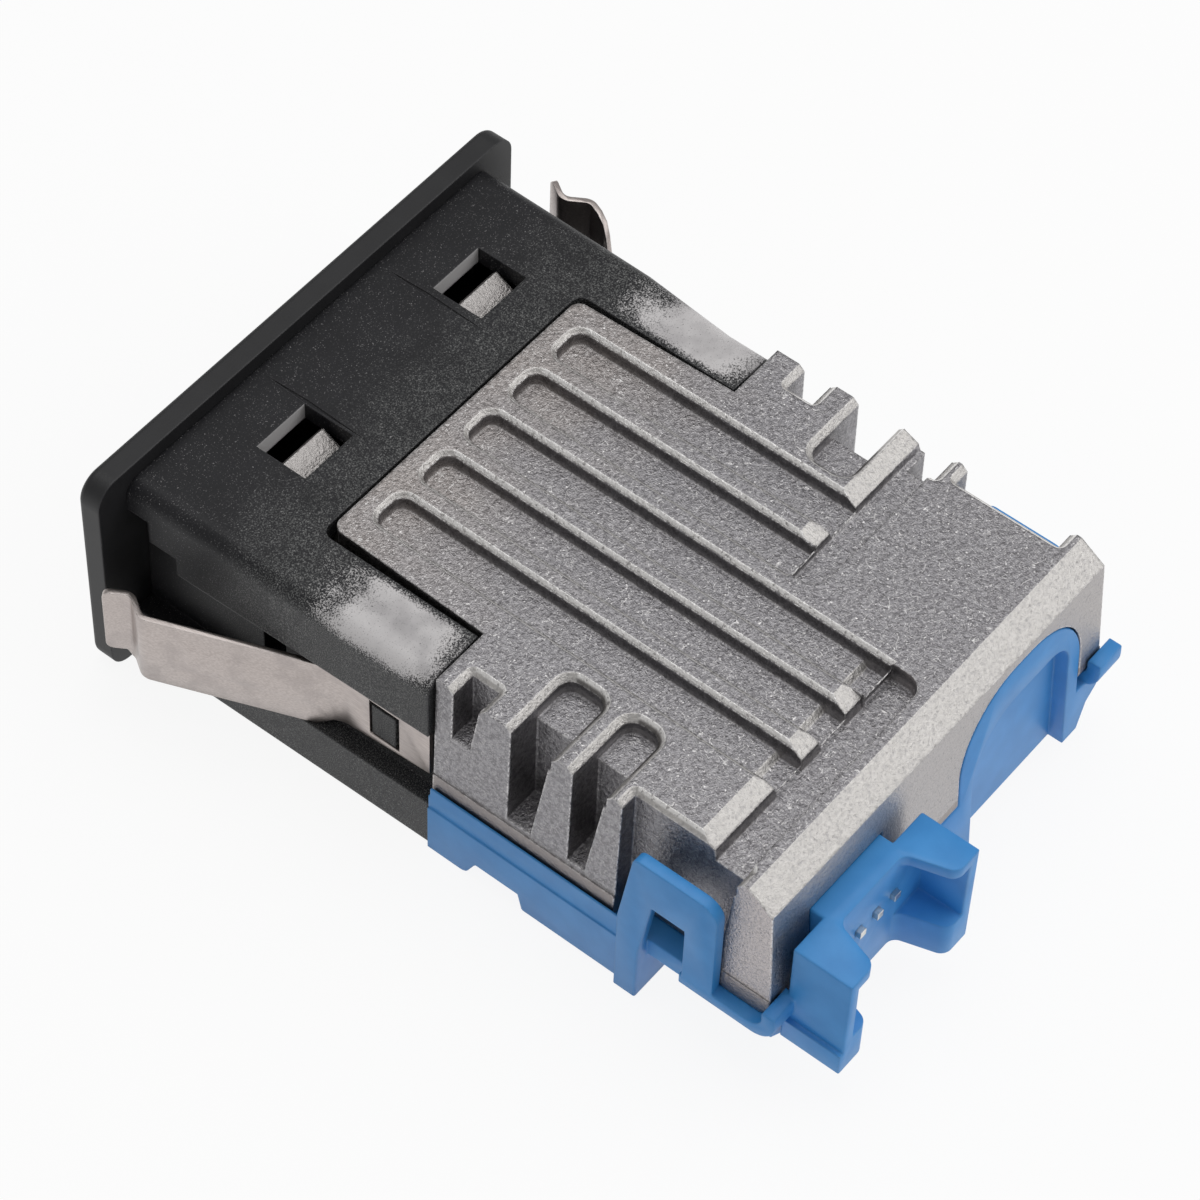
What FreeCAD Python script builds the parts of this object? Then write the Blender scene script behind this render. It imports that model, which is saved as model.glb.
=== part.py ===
import FreeCAD, Part
import math
import os
import re

import Sketcher

# Twin socket charger for a car dashboard, seen as it comes out of its panel.
# X runs across the socket, Y from its face to its rear plug and Z up, to the cooling grooves.
# The origin is at the middle of the flange's rear face, which seats on the panel.

os.makedirs("parts", exist_ok=True)
doc = FreeCAD.newDocument("car_usb_socket")

# Driving sizes in millimetres and degrees. A height is counted from the origin, a drop is
# the same below it, and a place along Y is counted from the flange's rear face.
SIZES = [
    ("socket_pitch", 17.0, "between the two sockets"),
    ("shell_width", 13.1, "socket shell, outside"),
    ("shell_height", 5.7, "socket shell, outside"),
    ("shell_wall", 0.35, "sheet of the socket shell"),
    ("shell_length", 13.6, "socket shell from mouth to back"),
    ("shell_setback", 0.5, "shell mouth behind the flange's face"),
    ("tongue_width", 10.6, "insulating tongue in the socket"),
    ("tongue_thickness", 1.8, "insulating tongue in the socket"),
    ("tongue_length", 8.6, "insulating tongue in the socket"),
    ("tongue_drop", 0.9, "top of the tongue below the shell's roof"),
    ("insulator_length", 3.6, "insulator behind the tongue"),
    ("contact_width", 1.0, "contact strip on the tongue"),
    ("contact_thickness", 0.25, "contact strip on the tongue"),
    ("contact_pitch", 2.2, "between contact strips"),
    ("contact_setback", 0.8, "contact strip behind the tongue's tip"),
    ("slip", 0.15, "clearance round a piece that is pushed into another"),
    ("socket_margin", 1.75, "inside of the sleeve beside a socket"),
    ("side_wall", 1.6, "side wall of the sleeve"),
    ("channel_depth", 1.8, "side channel for the spring clip"),
    ("flange_overhang", 2.8, "flange beyond the sleeve"),
    ("flange_height", 20.6, "flange from top to bottom"),
    ("flange_thickness", 2.0, "flange in front of the panel"),
    ("flange_corner", 2.0, "rounded corner of the flange"),
    ("flange_round", 0.5, "rounded front edge of the flange"),
    ("spigot_length", 2.4, "ring on the flange that plugs into the sleeve"),
    ("spigot_wall", 1.1, "wall of that ring"),
    ("side_taper", 0.3, "sleeve's side comes in towards the rear"),
    ("far_step", 1.1, "left side comes in by this at its rear"),
    ("far_step_front", 16.0, "front of that step"),
    ("far_step_end", 24.0, "rear of that step"),
    ("arm_end", 27.7, "rear ends of the sleeve's arms"),
    ("arm_round", 1.5, "rounded upper edge of the sleeve's sides"),
    ("arm_width", 5.7, "arm of the sleeve beside the notch"),
    ("sleeve_top", 8.95, "top face of the sleeve"),
    ("sleeve_drop", 10.05, "underside of the sleeve"),
    ("roof_wall", 1.6, "roof and floor of the sleeve"),
    ("notch_front", 13.4, "front of the notch between the arms"),
    ("notch_corner", 0.9, "corners of that notch"),
    ("channel_top", 2.25, "top of the side channel at the clip's crest"),
    ("channel_rear_top", 2.8, "top of the side channel at its rear"),
    ("channel_drop", 5.3, "bottom of the side channel"),
    ("tab_room", 2.0, "tall front of the side channel"),
    ("tab_room_top", 6.3, "top of that tall front"),
    ("crest_room", 4.5, "second step of the side channel"),
    ("crest_room_top", 4.1, "top of that step"),
    ("slot_front", 11.1, "upright slot in the channel"),
    ("slot_length", 2.1, "upright slot in the channel"),
    ("slot_height", 3.4, "upright slot in the channel"),
    ("slot_drop", 0.1, "top of the upright slot"),
    ("window_width", 5.2, "hook window in the sleeve's roof"),
    ("window_length", 4.6, "hook window in the sleeve's roof"),
    ("window_front", 4.8, "front of the hook windows"),
    ("near_window", 8.95, "middle of the right window"),
    ("far_window", 10.65, "middle of the left window, to the other side"),
    ("crease_front", 0.9, "front end of the crease beside a window"),
    ("crease_end", 10.6, "rear end of the crease beside a window"),
    ("crease_width", 0.35, "crease beside a window"),
    ("crease_depth", 0.12, "crease beside a window"),
    ("near_crease", 6.1, "place of the right crease"),
    ("far_crease", 7.3, "place of the left crease, to the other side"),
    ("ledge_width", 1.1, "ledge that the board lies on"),
    ("board_drop", 3.95, "top face of the circuit board"),
    ("board_thickness", 1.6, "circuit board"),
    ("board_front", 3.0, "front edge of the circuit board"),
    ("board_length", 53.4, "circuit board"),
    ("board_gap", 0.2, "heat sink above the circuit board"),
    ("sink_rise", 0.3, "top of the heat sink above the sleeve"),
    ("sink_inset", 0.85, "side of the heat sink inside the sleeve's"),
    ("sink_draft", 1.5, "draft of the heat sink's sides"),
    ("arm_gap", 0.3, "heat sink behind the sleeve's arms"),
    ("band_drop", 1.55, "smooth band round the heat sink's lower edge"),
    ("band_proud", 0.1, "smooth band outside the heat sink's side"),
    ("saddle_side_gap", 0.25, "beside the heat sink's front, in the notch"),
    ("saddle_taper", 0.5, "heat sink's front comes in towards its end"),
    ("saddle_gap", 0.4, "in front of the heat sink, in the notch"),
    ("saddle_thickness", 3.0, "front of the heat sink"),
    ("saddle_corner", 0.9, "corner of the heat sink's front"),
    ("roof_thickness", 3.2, "roof of the heat sink"),
    ("hollow_wall", 3.95, "side wall of the heat sink"),
    ("waist_wall", 1.55, "wall inside the deep pockets"),
    ("sink_end", 57.15, "rear of the heat sink below its chamfer"),
    ("rear_draft", 4.1, "draft of the heat sink's rear wall"),
    ("rear_wall", 1.9, "rear wall of the heat sink"),
    ("bar_flat", 55.0, "rear edge of the flat on the rear bar"),
    ("bar_drop", 1.5, "chamfer on the rear bar, down"),
    ("post_drop", 3.3, "lower end of the rear posts and the rear wall"),
    ("post_round", 1.1, "lower corners of the rear posts"),
    ("groove_pitch", 5.0, "between the cooling grooves"),
    ("groove_width", 3.35, "cooling groove"),
    ("groove_depth", 1.3, "cooling groove"),
    ("groove_front", 15.4, "front ends of the cooling grooves"),
    ("groove_first", 10.2, "middle of the first groove, left of the middle"),
    ("groove_draft", 12.0, "sloping sides of a groove"),
    ("groove_round", 1.1, "corners at a groove's front end"),
    ("groove_bevel", 0.3, "bevelled edge of a groove"),
    ("short_end", 40.8, "rear end of the two short lands"),
    ("short_trench_end", 43.4, "rear of the trench behind them"),
    ("long_end", 51.1, "rear end of the three long lands"),
    ("long_trench_end", 54.1, "rear of the trench behind them"),
    ("trench_round", 1.5, "inner rear corner of a trench"),
    ("trench_step", 0.45, "long trench below the grooves"),
    ("step_front", 49.05, "where the grooves step down to the long trench"),
    ("land_slope", 1.45, "sloping end of a land"),
    ("land_drop", 0.7, "sloping end of a land, down"),
    ("land_foot", 0.2, "foot of a land's end behind its slope"),
    ("fin_lean", 8.0, "sloping rear wall of a side pocket"),
    ("pocket_round", 0.2, "upper inner corners of the side pockets"),
    ("pocket_bevel", 0.5, "bevelled edge of the side pockets"),
    ("step_drop", 1.7, "ledge in the deep pockets below the top"),
    ("step_reach", 3.4, "ledge in the deep pockets, inwards"),
    ("step_round", 1.1, "inner corners of that ledge"),
    ("deep_drop", 10.3, "floor of the deep pockets below the top"),
    ("deep_reach", 2.9, "deep pockets from the heat sink's side"),
    ("shallow_drop", 5.4, "floor of the front pockets below the top"),
    ("shallow_reach", 2.15, "front pockets from the heat sink's side"),
    ("recess_reach", 1.45, "long side recess from the heat sink's side"),
    ("recess_lean", 5.0, "sloping rear wall of the side recess"),
    ("near_pocket_one", 29.5, "front of the first right pocket"),
    ("near_pocket_two", 34.6, "front of the second right pocket"),
    ("near_pocket_three", 40.0, "front of the third right pocket"),
    ("near_recess", 44.3, "front of the right recess"),
    ("far_pocket_one", 30.5, "front of the first left pocket"),
    ("far_pocket_two", 35.4, "front of the second left pocket"),
    ("far_pocket_three", 41.4, "front of the third left pocket"),
    ("far_recess", 45.1, "front of the left recess"),
    ("narrow_pocket", 2.4, "first and left pockets along the side"),
    ("wide_pocket", 3.6, "second pockets along the side"),
    ("middle_pocket", 3.0, "third pocket along the side"),
    ("recess_end", 54.1, "rear end of the side recesses"),
    ("hook_width", 4.4, "hook under the sleeve's roof"),
    ("hook_front", 6.5, "front face of the hooks"),
    ("hook_thickness", 2.2, "arm of a hook"),
    ("hook_rise", 0.95, "nose of a hook above its arm"),
    ("hook_nose", 2.2, "length of a hook's nose"),
    ("hook_tip", 0.4, "blunt tip of a hook's nose"),
    ("roof_gap", 0.15, "hook arm below the sleeve's roof"),
    ("base_gap", 0.15, "base behind the sleeve, and under it"),
    ("base_floor", 1.5, "floor of the base"),
    ("parting_drop", 5.25, "where the base's side steps out"),
    ("parting_step", 0.12, "step in the base's side"),
    ("tray_end", 47.3, "rear end of the deep part of the base"),
    ("lip_rise", 0.8, "lip of the base beside the skirt"),
    ("lip_gap", 0.12, "between the lip and the skirt"),
    ("foot_end", 31.4, "rear end of the front foot"),
    ("foot_round", 0.8, "rounded corner of a foot"),
    ("rear_foot", 36.5, "front end of the rear foot"),
    ("foot_rise", 1.6, "step between the feet"),
    ("foot_slope", 0.8, "slope at each end of that step"),
    ("deck_drop", 8.7, "underside of the base's rear deck"),
    ("deck_inset", 0.55, "side of the rear deck inside the base's"),
    ("deck_chamfer_top", 5.8, "upper end of the chamfer on the deck's side"),
    ("deck_chamfer_low", 6.6, "lower end of the chamfer on the deck's side"),
    ("deck_chamfer", 1.2, "chamfer on the deck's side"),
    ("deck_taper", 1.1, "deck's side comes in below its chamfer"),
    ("rail_reach", 0.6, "rails under the rear posts outside the base"),
    ("rail_front", 50.9, "front end of the rails"),
    ("rail_thickness", 1.15, "rail under and behind a post"),
    ("rail_top", 1.4, "upper end of the rail behind a post, below the middle"),
    ("rail_round", 2.0, "rounded lower corner of a rail"),
    ("loop_foot", 45.4, "latch loop, front at its foot"),
    ("loop_shoulder", 46.5, "latch loop, front near its top"),
    ("loop_end", 53.7, "latch loop, rear"),
    ("loop_top", 6.5, "top of the right latch loop"),
    ("far_loop_top", 4.9, "top of the left latch loop"),
    ("loop_thickness", 0.95, "latch loop, outwards"),
    ("loop_front_round", 0.7, "front corner of the latch loop"),
    ("loop_rear_round", 1.5, "rear corner of the latch loop"),
    ("loop_window", 48.2, "front of the window in the latch loop"),
    ("loop_window_length", 2.9, "window in the latch loop"),
    ("loop_window_top", 1.9, "top of that window"),
    ("rear_gap", 0.1, "base round the heat sink's rear wall"),
    ("shroud_inset", 8.2, "middle of the rear plug shroud from the heat sink's side"),
    ("shroud_width", 14.7, "plug shroud, outside"),
    ("shroud_top", 4.3, "top of the plug shroud"),
    ("shroud_height", 10.4, "plug shroud, outside"),
    ("shroud_wall", 1.05, "wall of the plug shroud"),
    ("shroud_end", 63.4, "rear end of the plug shroud"),
    ("shroud_flare", 3.9, "where the shroud's side steps out, below the middle"),
    ("shroud_step", 0.4, "step in the shroud's side"),
    ("plug_height", 6.0, "room for the plug in the shroud"),
    ("plug_stop", 1.2, "wall behind the plug"),
    ("keyway_width", 7.2, "notch in the shroud's top and bottom"),
    ("keyway_front", 59.6, "front of that notch"),
    ("keyway_flare", 1.2, "how far that notch widens at its mouth"),
    ("keyway_round", 0.9, "inner corners of that notch"),
    ("keyway_lip", 1.0, "outer corners of that notch"),
    ("header_width", 8.0, "block that holds the pins"),
    ("header_front", 52.6, "front of that block"),
    ("pin_size", 0.64, "square pin"),
    ("pin_pitch", 2.0, "between the pins"),
    ("pin_height", 0.25, "middle of the pins"),
    ("pin_end", 60.0, "rear ends of the pins"),
    ("pin_row", 51.4, "place of the pins in the board"),
    ("pin_tail", 0.8, "pin below the board"),
    ("pin_hole", 0.95, "hole for a pin in the board"),
    ("panel_middle", 9.65, "middle of the arched panel, to the left"),
    ("panel_width", 14.7, "arched panel"),
    ("panel_top", 6.8, "top of the arched panel"),
    ("panel_arch", 6.5, "radius of its upper corners"),
    ("panel_proud", 0.06, "arched panel outside the rear wall"),
    ("panel_thickness", 2.6, "arched panel"),
    ("strip_top", 2.4, "base under the rear wall beside the plug, below the middle"),
    ("scoop_left", 15.5, "scoop in the arched panel, left edge"),
    ("scoop_right", 3.9, "scoop in the arched panel, right edge"),
    ("scoop_top", 3.4, "scoop in the arched panel"),
    ("scoop_depth", 1.2, "scoop in the arched panel"),
    ("scoop_corner", 2.4, "upper left corner of the scoop"),
    ("scoop_arch", 5.2, "upper right corner of the scoop"),
    ("scoop_sweep", 1.1, "rounded left side of the scoop's floor"),
    ("clip_thickness", 0.45, "sheet of the spring clip"),
    ("clip_top", 1.9, "upper edge of the spring clip"),
    ("clip_drop", 5.2, "lower edge of the spring clip"),
    ("clip_foot", 27.0, "rear end of the spring clip"),
    ("clip_foot_front", 18.3, "front of the clip's shallow foot"),
    ("clip_foot_drop", 4.3, "lower edge of the clip's foot at its front"),
    ("clip_foot_end_drop", 3.4, "lower edge of the clip's foot at its rear"),
    ("clip_bend", 19.0, "bend where the clip leaves the sleeve"),
    ("clip_crest", 4.75, "crest of the spring clip"),
    ("clip_crest_reach", 4.5, "crest of the clip outside the sleeve"),
    ("clip_neck", 2.9, "neck between the crest and the end tab"),
    ("clip_neck_reach", 3.3, "neck of the clip outside the sleeve"),
    ("clip_tab", 1.2, "front end of the clip's tab"),
    ("clip_tab_reach", 4.4, "tab of the clip outside the sleeve"),
    ("clip_bend_radius", 2.0, "radius of the bend at the foot"),
    ("clip_crest_radius", 1.2, "radius of the crest"),
    ("clip_neck_radius", 0.8, "radius of the neck"),
    ("clip_corner", 0.6, "rounded corners of the clip's ends"),
    ("clip_tab_rise", 0.6, "tab narrower than the clip, at its lower edge"),
    ("clip_seat_gap", 0.05, "clip's foot off the channel's wall"),
    ("clip_hole_front", 21.4, "hole in the clip's foot"),
    ("clip_hole_length", 2.75, "hole in the clip's foot"),
    ("clip_hole_drop", 3.3, "lower edge of that hole"),
    ("clip_hole_top", 0.6, "upper edge of that hole"),
    ("nub_gap", 0.3, "nub on the sleeve inside the clip's hole"),
    ("bead_front", 7.8, "pressed bead on the clip"),
    ("bead_end", 17.2, "pressed bead on the clip"),
    ("bead_top", 0.35, "pressed bead on the clip"),
    ("bead_drop", 2.9, "pressed bead on the clip"),
    ("bead_height", 0.25, "pressed bead on the clip, outwards"),
    ("bead_slope", 0.5, "sloping edge of that bead"),
    ("chip_size", 7.0, "controller chip"),
    ("chip_height", 1.0, "controller chip"),
    ("driver_size", 5.0, "power chip"),
    ("front_chip_place", 33.5, "middle of the power chip"),
    ("rear_chip_place", 42.0, "middle of the controller chip"),
    ("pad_thickness", 0.9, "soft pad between a chip and the heat sink"),
    ("coil_size", 7.0, "inductor"),
    ("coil_height", 4.2, "inductor"),
    ("coil_round", 1.2, "corners of an inductor"),
    ("coil_place", 23.5, "middle of the inductors"),
    ("coil_pitch", 17.0, "between the inductors"),
    ("can_radius", 3.15, "round capacitor"),
    ("can_height", 7.2, "round capacitor"),
    ("can_place", 49.5, "middle of the round capacitors"),
    ("can_pitch", 7.4, "between the round capacitors"),
    ("can_first", 4.3, "middle of the first round capacitor, to the left"),
    ("brick_length", 3.2, "small ceramic capacitor"),
    ("brick_width", 1.6, "small ceramic capacitor"),
    ("brick_height", 1.2, "small ceramic capacitor"),
    ("brick_pitch", 3.0, "between the small capacitors"),
    ("brick_place", 28.5, "middle of the row of small capacitors"),
    ("guide_width", 2.4, "light guide between the sockets"),
    ("guide_height", 1.5, "light guide between the sockets"),
    ("guide_length", 5.4, "light guide from the flange's face"),
    ("lamp_length", 1.6, "lamp behind the light guide"),
    ("lamp_height", 0.8, "lamp behind the light guide"),
]

sheet = doc.addObject("Spreadsheet::Sheet", "Sizes")
for row, (alias, size, note) in enumerate(SIZES, start=1):
    sheet.set(f"A{row}", alias)
    sheet.set(f"B{row}", str(size))
    sheet.set(f"C{row}", note)
    sheet.setAlias(f"B{row}", alias)
doc.recompute()

ALIASES = {alias for alias, size, note in SIZES}
NODES = []


def formula(text):
    """The expression with each size written as its cell in the sheet."""
    return re.sub(r"[a-z_]+", lambda word: f"Sizes.{word[0]}" if word[0] in ALIASES else word[0], text)


def size_of(text):
    """What an expression of sizes comes to, in millimetres."""
    return float(sheet.evalExpression(formula(text)))


def new_body(name):
    body = doc.addObject("PartDesign::Body", name)
    body.Label = name
    NODES.append(body)
    return body


def arc_ends(before, corner, after, radius):
    """Start, middle and end of the arc that rounds a corner."""
    back = (before - corner).normalize()
    ahead = (after - corner).normalize()
    half = back.getAngle(ahead) / 2
    reach = radius / math.tan(half)
    crest = corner + (back + ahead).normalize() * (radius / math.sin(half) - radius)
    return corner + back * reach, crest, corner + ahead * reach


def bind(sketch, kind, item, point, text, value):
    """Tie a place or a radius in a sketch to an expression of sizes."""
    if kind == "Radius":
        constraint = Sketcher.Constraint(kind, item, value)
    else:
        constraint = Sketcher.Constraint(kind, -1, 1, item, point, value)
    index = sketch.addConstraint(constraint)
    sketch.setExpression(f"Constraints[{index}]", formula(text))


def draw(body, name, plane, level, outline):
    """A sketch on one of the body's planes. Each corner is bound to sizes, and may be rounded."""
    sketch = body.newObject("Sketcher::SketchObject", f"{name}Sketch")
    base = [item for item in body.Origin.OriginFeatures if item.Role == f"{plane}_Plane"][0]
    sketch.AttachmentSupport = [(base, "")]
    sketch.MapMode = "FlatFace"
    offset = f"-({level})" if plane == "XZ" else level
    sketch.setExpression("AttachmentOffset.Base.z", formula(offset))
    spots = [FreeCAD.Vector(size_of(corner[0]), size_of(corner[1]), 0) for corner in outline]
    count = len(spots)
    arcs = []
    for number, corner in enumerate(outline):
        rounded = len(corner) > 2
        following = spots[(number + 1) % count]
        arcs.append(arc_ends(spots[number - 1], spots[number], following, size_of(corner[2])) if rounded else None)
    lines = []
    for number in range(count):
        following = (number + 1) % count
        start = arcs[number][2] if arcs[number] else spots[number]
        end = arcs[following][0] if arcs[following] else spots[following]
        lines.append(sketch.addGeometry(Part.LineSegment(start, end), False))
    for number, corner in enumerate(outline):
        before, after = lines[number - 1], lines[number]
        if arcs[number]:
            arc = sketch.addGeometry(Part.Arc(*arcs[number]), False)
            turn = (spots[number] - spots[number - 1]).cross(spots[(number + 1) % count] - spots[number]).z
            entry, leave = (1, 2) if turn > 0 else (2, 1)
            tip, point = sketch.addGeometry(Part.Point(spots[number]), True), 1
            sketch.addConstraint(Sketcher.Constraint("PointOnObject", tip, 1, before))
            sketch.addConstraint(Sketcher.Constraint("PointOnObject", tip, 1, after))
            sketch.addConstraint(Sketcher.Constraint("Tangent", before, 2, arc, entry))
            sketch.addConstraint(Sketcher.Constraint("Tangent", arc, leave, after, 1))
            bind(sketch, "Radius", arc, 0, corner[2], size_of(corner[2]))
        else:
            tip, point = after, 1
            sketch.addConstraint(Sketcher.Constraint("Coincident", before, 2, after, 1))
        bind(sketch, "DistanceX", tip, point, corner[0], spots[number].x)
        bind(sketch, "DistanceY", tip, point, corner[1], spots[number].y)
    return sketch


def grow(body, name, plane, low, high, outline, downwards=False):
    """Pad an outline from low to high along the plane's axis."""
    from_high = downwards != (plane == "XZ")
    sketch = draw(body, name, plane, high if from_high else low, outline)
    pad = body.newObject("PartDesign::Pad", name)
    pad.Profile = sketch
    pad.setExpression("Length", formula(f"({high}) - ({low})"))
    pad.Reversed = downwards
    body.Tip = pad
    doc.recompute()
    return pad


def cut(body, name, plane, low, high, outline, draft=None, upwards=False):
    """Pocket an outline from low to high, and make sure that it took something away."""
    volume = body.Tip.Shape.Volume
    from_low = upwards != (plane == "XZ")
    sketch = draw(body, name, plane, low if from_low else high, outline)
    pocket = body.newObject("PartDesign::Pocket", name)
    pocket.Profile = sketch
    pocket.setExpression("Length", formula(f"({high}) - ({low})"))
    pocket.Reversed = upwards
    if draft:
        pocket.setExpression("TaperAngle", formula(f"-({draft})"))
    body.Tip = pocket
    doc.recompute()
    if not pocket.Shape.Volume < volume:
        raise RuntimeError(f"{body.Label}: {name} cut nothing")
    return pocket


def box(u_low, u_high, v_low, v_high):
    """A rectangle as an outline."""
    return [(u_low, v_low), (u_high, v_low), (u_high, v_high), (u_low, v_high)]


def centred(width, v_low, v_high):
    """A rectangle about the middle plane."""
    return box(f"-({width}) / 2", f"({width}) / 2", v_low, v_high)


def both_sides(points):
    """An outline from its right-hand points, mirrored to the left."""
    return points + [(f"-({corner[0]})", *corner[1:]) for corner in reversed(points)]


def ends_at(edge, spot, axes):
    """Whether an edge has an end at a spot, looked at along the third axis."""
    first, second = axes
    return any(
        abs(getattr(vertex.Point, first) - spot[0]) < 0.05
        and abs(getattr(vertex.Point, second) - spot[1]) < 0.05
        for vertex in edge.Vertexes
    )


def edges_along(shape, axis, spots):
    """The edges that run along an axis, more or less, with an end at one of the spots."""
    axes = [name for name in "xyz" if name != axis]
    places = [(size_of(u), size_of(v)) for u, v in spots]
    names = []
    for number, edge in enumerate(shape.Edges, start=1):
        if len(edge.Vertexes) != 2:
            continue
        run = edge.Vertexes[1].Point - edge.Vertexes[0].Point
        along = abs(getattr(run, axis)) > 0.9 * run.Length
        if along and any(ends_at(edge, place, axes) for place in places):
            names.append(f"Edge{number}")
    return names


def fillet(body, name, edges, radius):
    """A fillet on edges of the body's last feature."""
    if not edges:
        raise RuntimeError(f"{body.Label}: {name} found no edge")
    last = body.Tip
    feature = body.newObject("PartDesign::Fillet", name)
    feature.Base = (last, edges)
    feature.setExpression("Radius", formula(radius))
    body.Tip = feature
    doc.recompute()
    return feature


def block(name, x, y, z):
    """A plain block from three pairs of limits."""
    solid = doc.addObject("Part::Box", name)
    solid.Label = name
    for side, axis, (low, high) in zip(("Length", "Width", "Height"), "xyz", (x, y, z)):
        solid.setExpression(side, formula(f"({high}) - ({low})"))
        solid.setExpression(f"Placement.Base.{axis}", formula(low))
    return solid


def about(middle, width):
    """Low and high limits of a width about a middle."""
    return (f"({middle}) - ({width}) / 2", f"({middle}) + ({width}) / 2")


def flank(side, near, far):
    """Limits across the part, counted outwards from its middle to one side."""
    return (near, far) if side == "Right" else (f"-({far})", f"-({near})")


# Sizes across the part. They start from the two sockets and work outwards.
CAVITY_WIDTH = "(socket_pitch + shell_width + 2 * socket_margin)"
SLEEVE_WIDTH = f"({CAVITY_WIDTH} + 2 * side_wall + 2 * channel_depth)"
SLEEVE_SIDE = f"({SLEEVE_WIDTH} / 2)"
FLANGE_WIDTH = f"({SLEEVE_WIDTH} + 2 * flange_overhang)"
NOTCH_WIDTH = f"({SLEEVE_WIDTH} - 2 * arm_width)"
SINK_WIDTH = f"({SLEEVE_WIDTH} - 2 * sink_inset)"
RAIL_SIDE = f"({SLEEVE_SIDE} + rail_reach)"

# Heights and places along the part that several pieces share.
SHELL_BOTTOM = "-board_drop"
SHELL_TOP = "shell_height - board_drop"
BOARD_BOTTOM = "-(board_drop + board_thickness)"
CAVITY_ROOF = "(sleeve_top - roof_wall)"
CAVITY_FLOOR = "(roof_wall - sleeve_drop)"
SINK_TOP = "(sleeve_top + sink_rise)"
SINK_ROOF = f"({SINK_TOP} - roof_thickness)"
SINK_BOTTOM = "(board_gap - board_drop)"
SINK_FRONT = "(arm_end + arm_gap)"
SADDLE_FRONT = "(notch_front + saddle_gap)"
BASE_FRONT = "(arm_end + base_gap)"
BASE_BOTTOM = "(-(sleeve_drop + base_gap))"
SHROUD_MIDDLE = f"({SINK_WIDTH} / 2 - shroud_inset)"
SOCKETS = {"left": "-socket_pitch / 2", "right": "socket_pitch / 2"}
SIDES = ("Right", "Left")
HOOKS = {"Right": "near_window", "Left": "-far_window"}
CLEAR = 3


def sink_side(height):
    """Half the heat sink's width at a height, with its draft."""
    return f"({SINK_WIDTH} / 2 + tan(sink_draft) * ({SINK_TOP} - ({height})))"


def rear_plane(height):
    """Where the heat sink's leaning rear wall is at a height."""
    return f"(sink_end + tan(rear_draft) * ({SINK_TOP} - bar_drop - ({height})))"


# Front flange: one moulding with a window for each socket, a hole for the light guide
# and a ring behind that plugs into the sleeve.
flange = new_body("front_bezel")
grow(flange, "Plate", "XZ", "-flange_thickness", "0", both_sides([
    (f"{FLANGE_WIDTH} / 2", "-flange_height / 2", "flange_corner"),
    (f"{FLANGE_WIDTH} / 2", "flange_height / 2", "flange_corner"),
]))
front_edges = [
    f"Edge{number}" for number, edge in enumerate(flange.Tip.Shape.Edges, start=1)
    if all(abs(vertex.Point.y + size_of("flange_thickness")) < 0.01 for vertex in edge.Vertexes)
]
fillet(flange, "FrontEdge", front_edges, "flange_round")
ring_width = f"({CAVITY_WIDTH} - 2 * slip)"
ring_low = f"({CAVITY_FLOOR} + slip)"
ring_high = f"({CAVITY_ROOF} - slip)"
grow(flange, "Ring", "XZ", "0", "spigot_length", centred(ring_width, ring_low, ring_high))
cut(flange, "RingHollow", "XZ", "0", "spigot_length",
    centred(f"{ring_width} - 2 * spigot_wall", f"{ring_low} + spigot_wall", f"{ring_high} - spigot_wall"))
for side, middle in SOCKETS.items():
    cut(flange, f"Window{side.title()}", "XZ", "-flange_thickness", "0",
        box(*about(middle, "shell_width + 2 * slip"), f"{SHELL_BOTTOM} - slip", f"{SHELL_TOP} + slip"))
cut(flange, "GuideHole", "XZ", "-flange_thickness", "0",
    box(*about("0", "guide_width + 2 * slip"), "-board_drop - slip", "guide_height - board_drop + slip"))

# Sleeve: a painted casting, open at the rear between two arms, with a channel along each
# side for a spring clip and two windows in its roof for the heat sink's hooks.
sleeve = new_body("housing")
grow(sleeve, "Shell", "XY", "-sleeve_drop", "sleeve_top", [
    (SLEEVE_SIDE, "0"),
    (f"{SLEEVE_SIDE} - side_taper", "arm_end"),
    (f"far_step - {SLEEVE_SIDE}", "arm_end"),
    (f"far_step - {SLEEVE_SIDE}", "far_step_end"),
    (f"side_taper - {SLEEVE_SIDE}", "far_step_front"),
    (f"-{SLEEVE_SIDE}", "0"),
])
upper_edges = [
    f"Edge{number}" for number, edge in enumerate(sleeve.Tip.Shape.Edges, start=1)
    if all(abs(vertex.Point.z - size_of("sleeve_top")) < 0.01 for vertex in edge.Vertexes)
    and abs(edge.Vertexes[0].Point.y - edge.Vertexes[-1].Point.y) > 1
]
fillet(sleeve, "ArmRounds", upper_edges, "arm_round")
cut(sleeve, "Cavity", "XZ", "0", "arm_end", centred(CAVITY_WIDTH, BOARD_BOTTOM, CAVITY_ROOF))
cut(sleeve, "LowerCavity", "XZ", "0", "arm_end",
    centred(f"{CAVITY_WIDTH} - 2 * ledge_width", CAVITY_FLOOR, BOARD_BOTTOM))
cut(sleeve, "RingSeat", "XZ", "0", "spigot_length", centred(CAVITY_WIDTH, CAVITY_FLOOR, BOARD_BOTTOM))
cut(sleeve, "Notch", "XY", CAVITY_ROOF, "sleeve_top", [
    (f"-{NOTCH_WIDTH} / 2", "notch_front", "notch_corner"),
    (f"{NOTCH_WIDTH} / 2", "notch_front", "notch_corner"),
    (f"{NOTCH_WIDTH} / 2", "arm_end"), (f"-{NOTCH_WIDTH} / 2", "arm_end"),
])
CHANNEL_WALL = f"({SLEEVE_SIDE} - channel_depth)"
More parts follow.
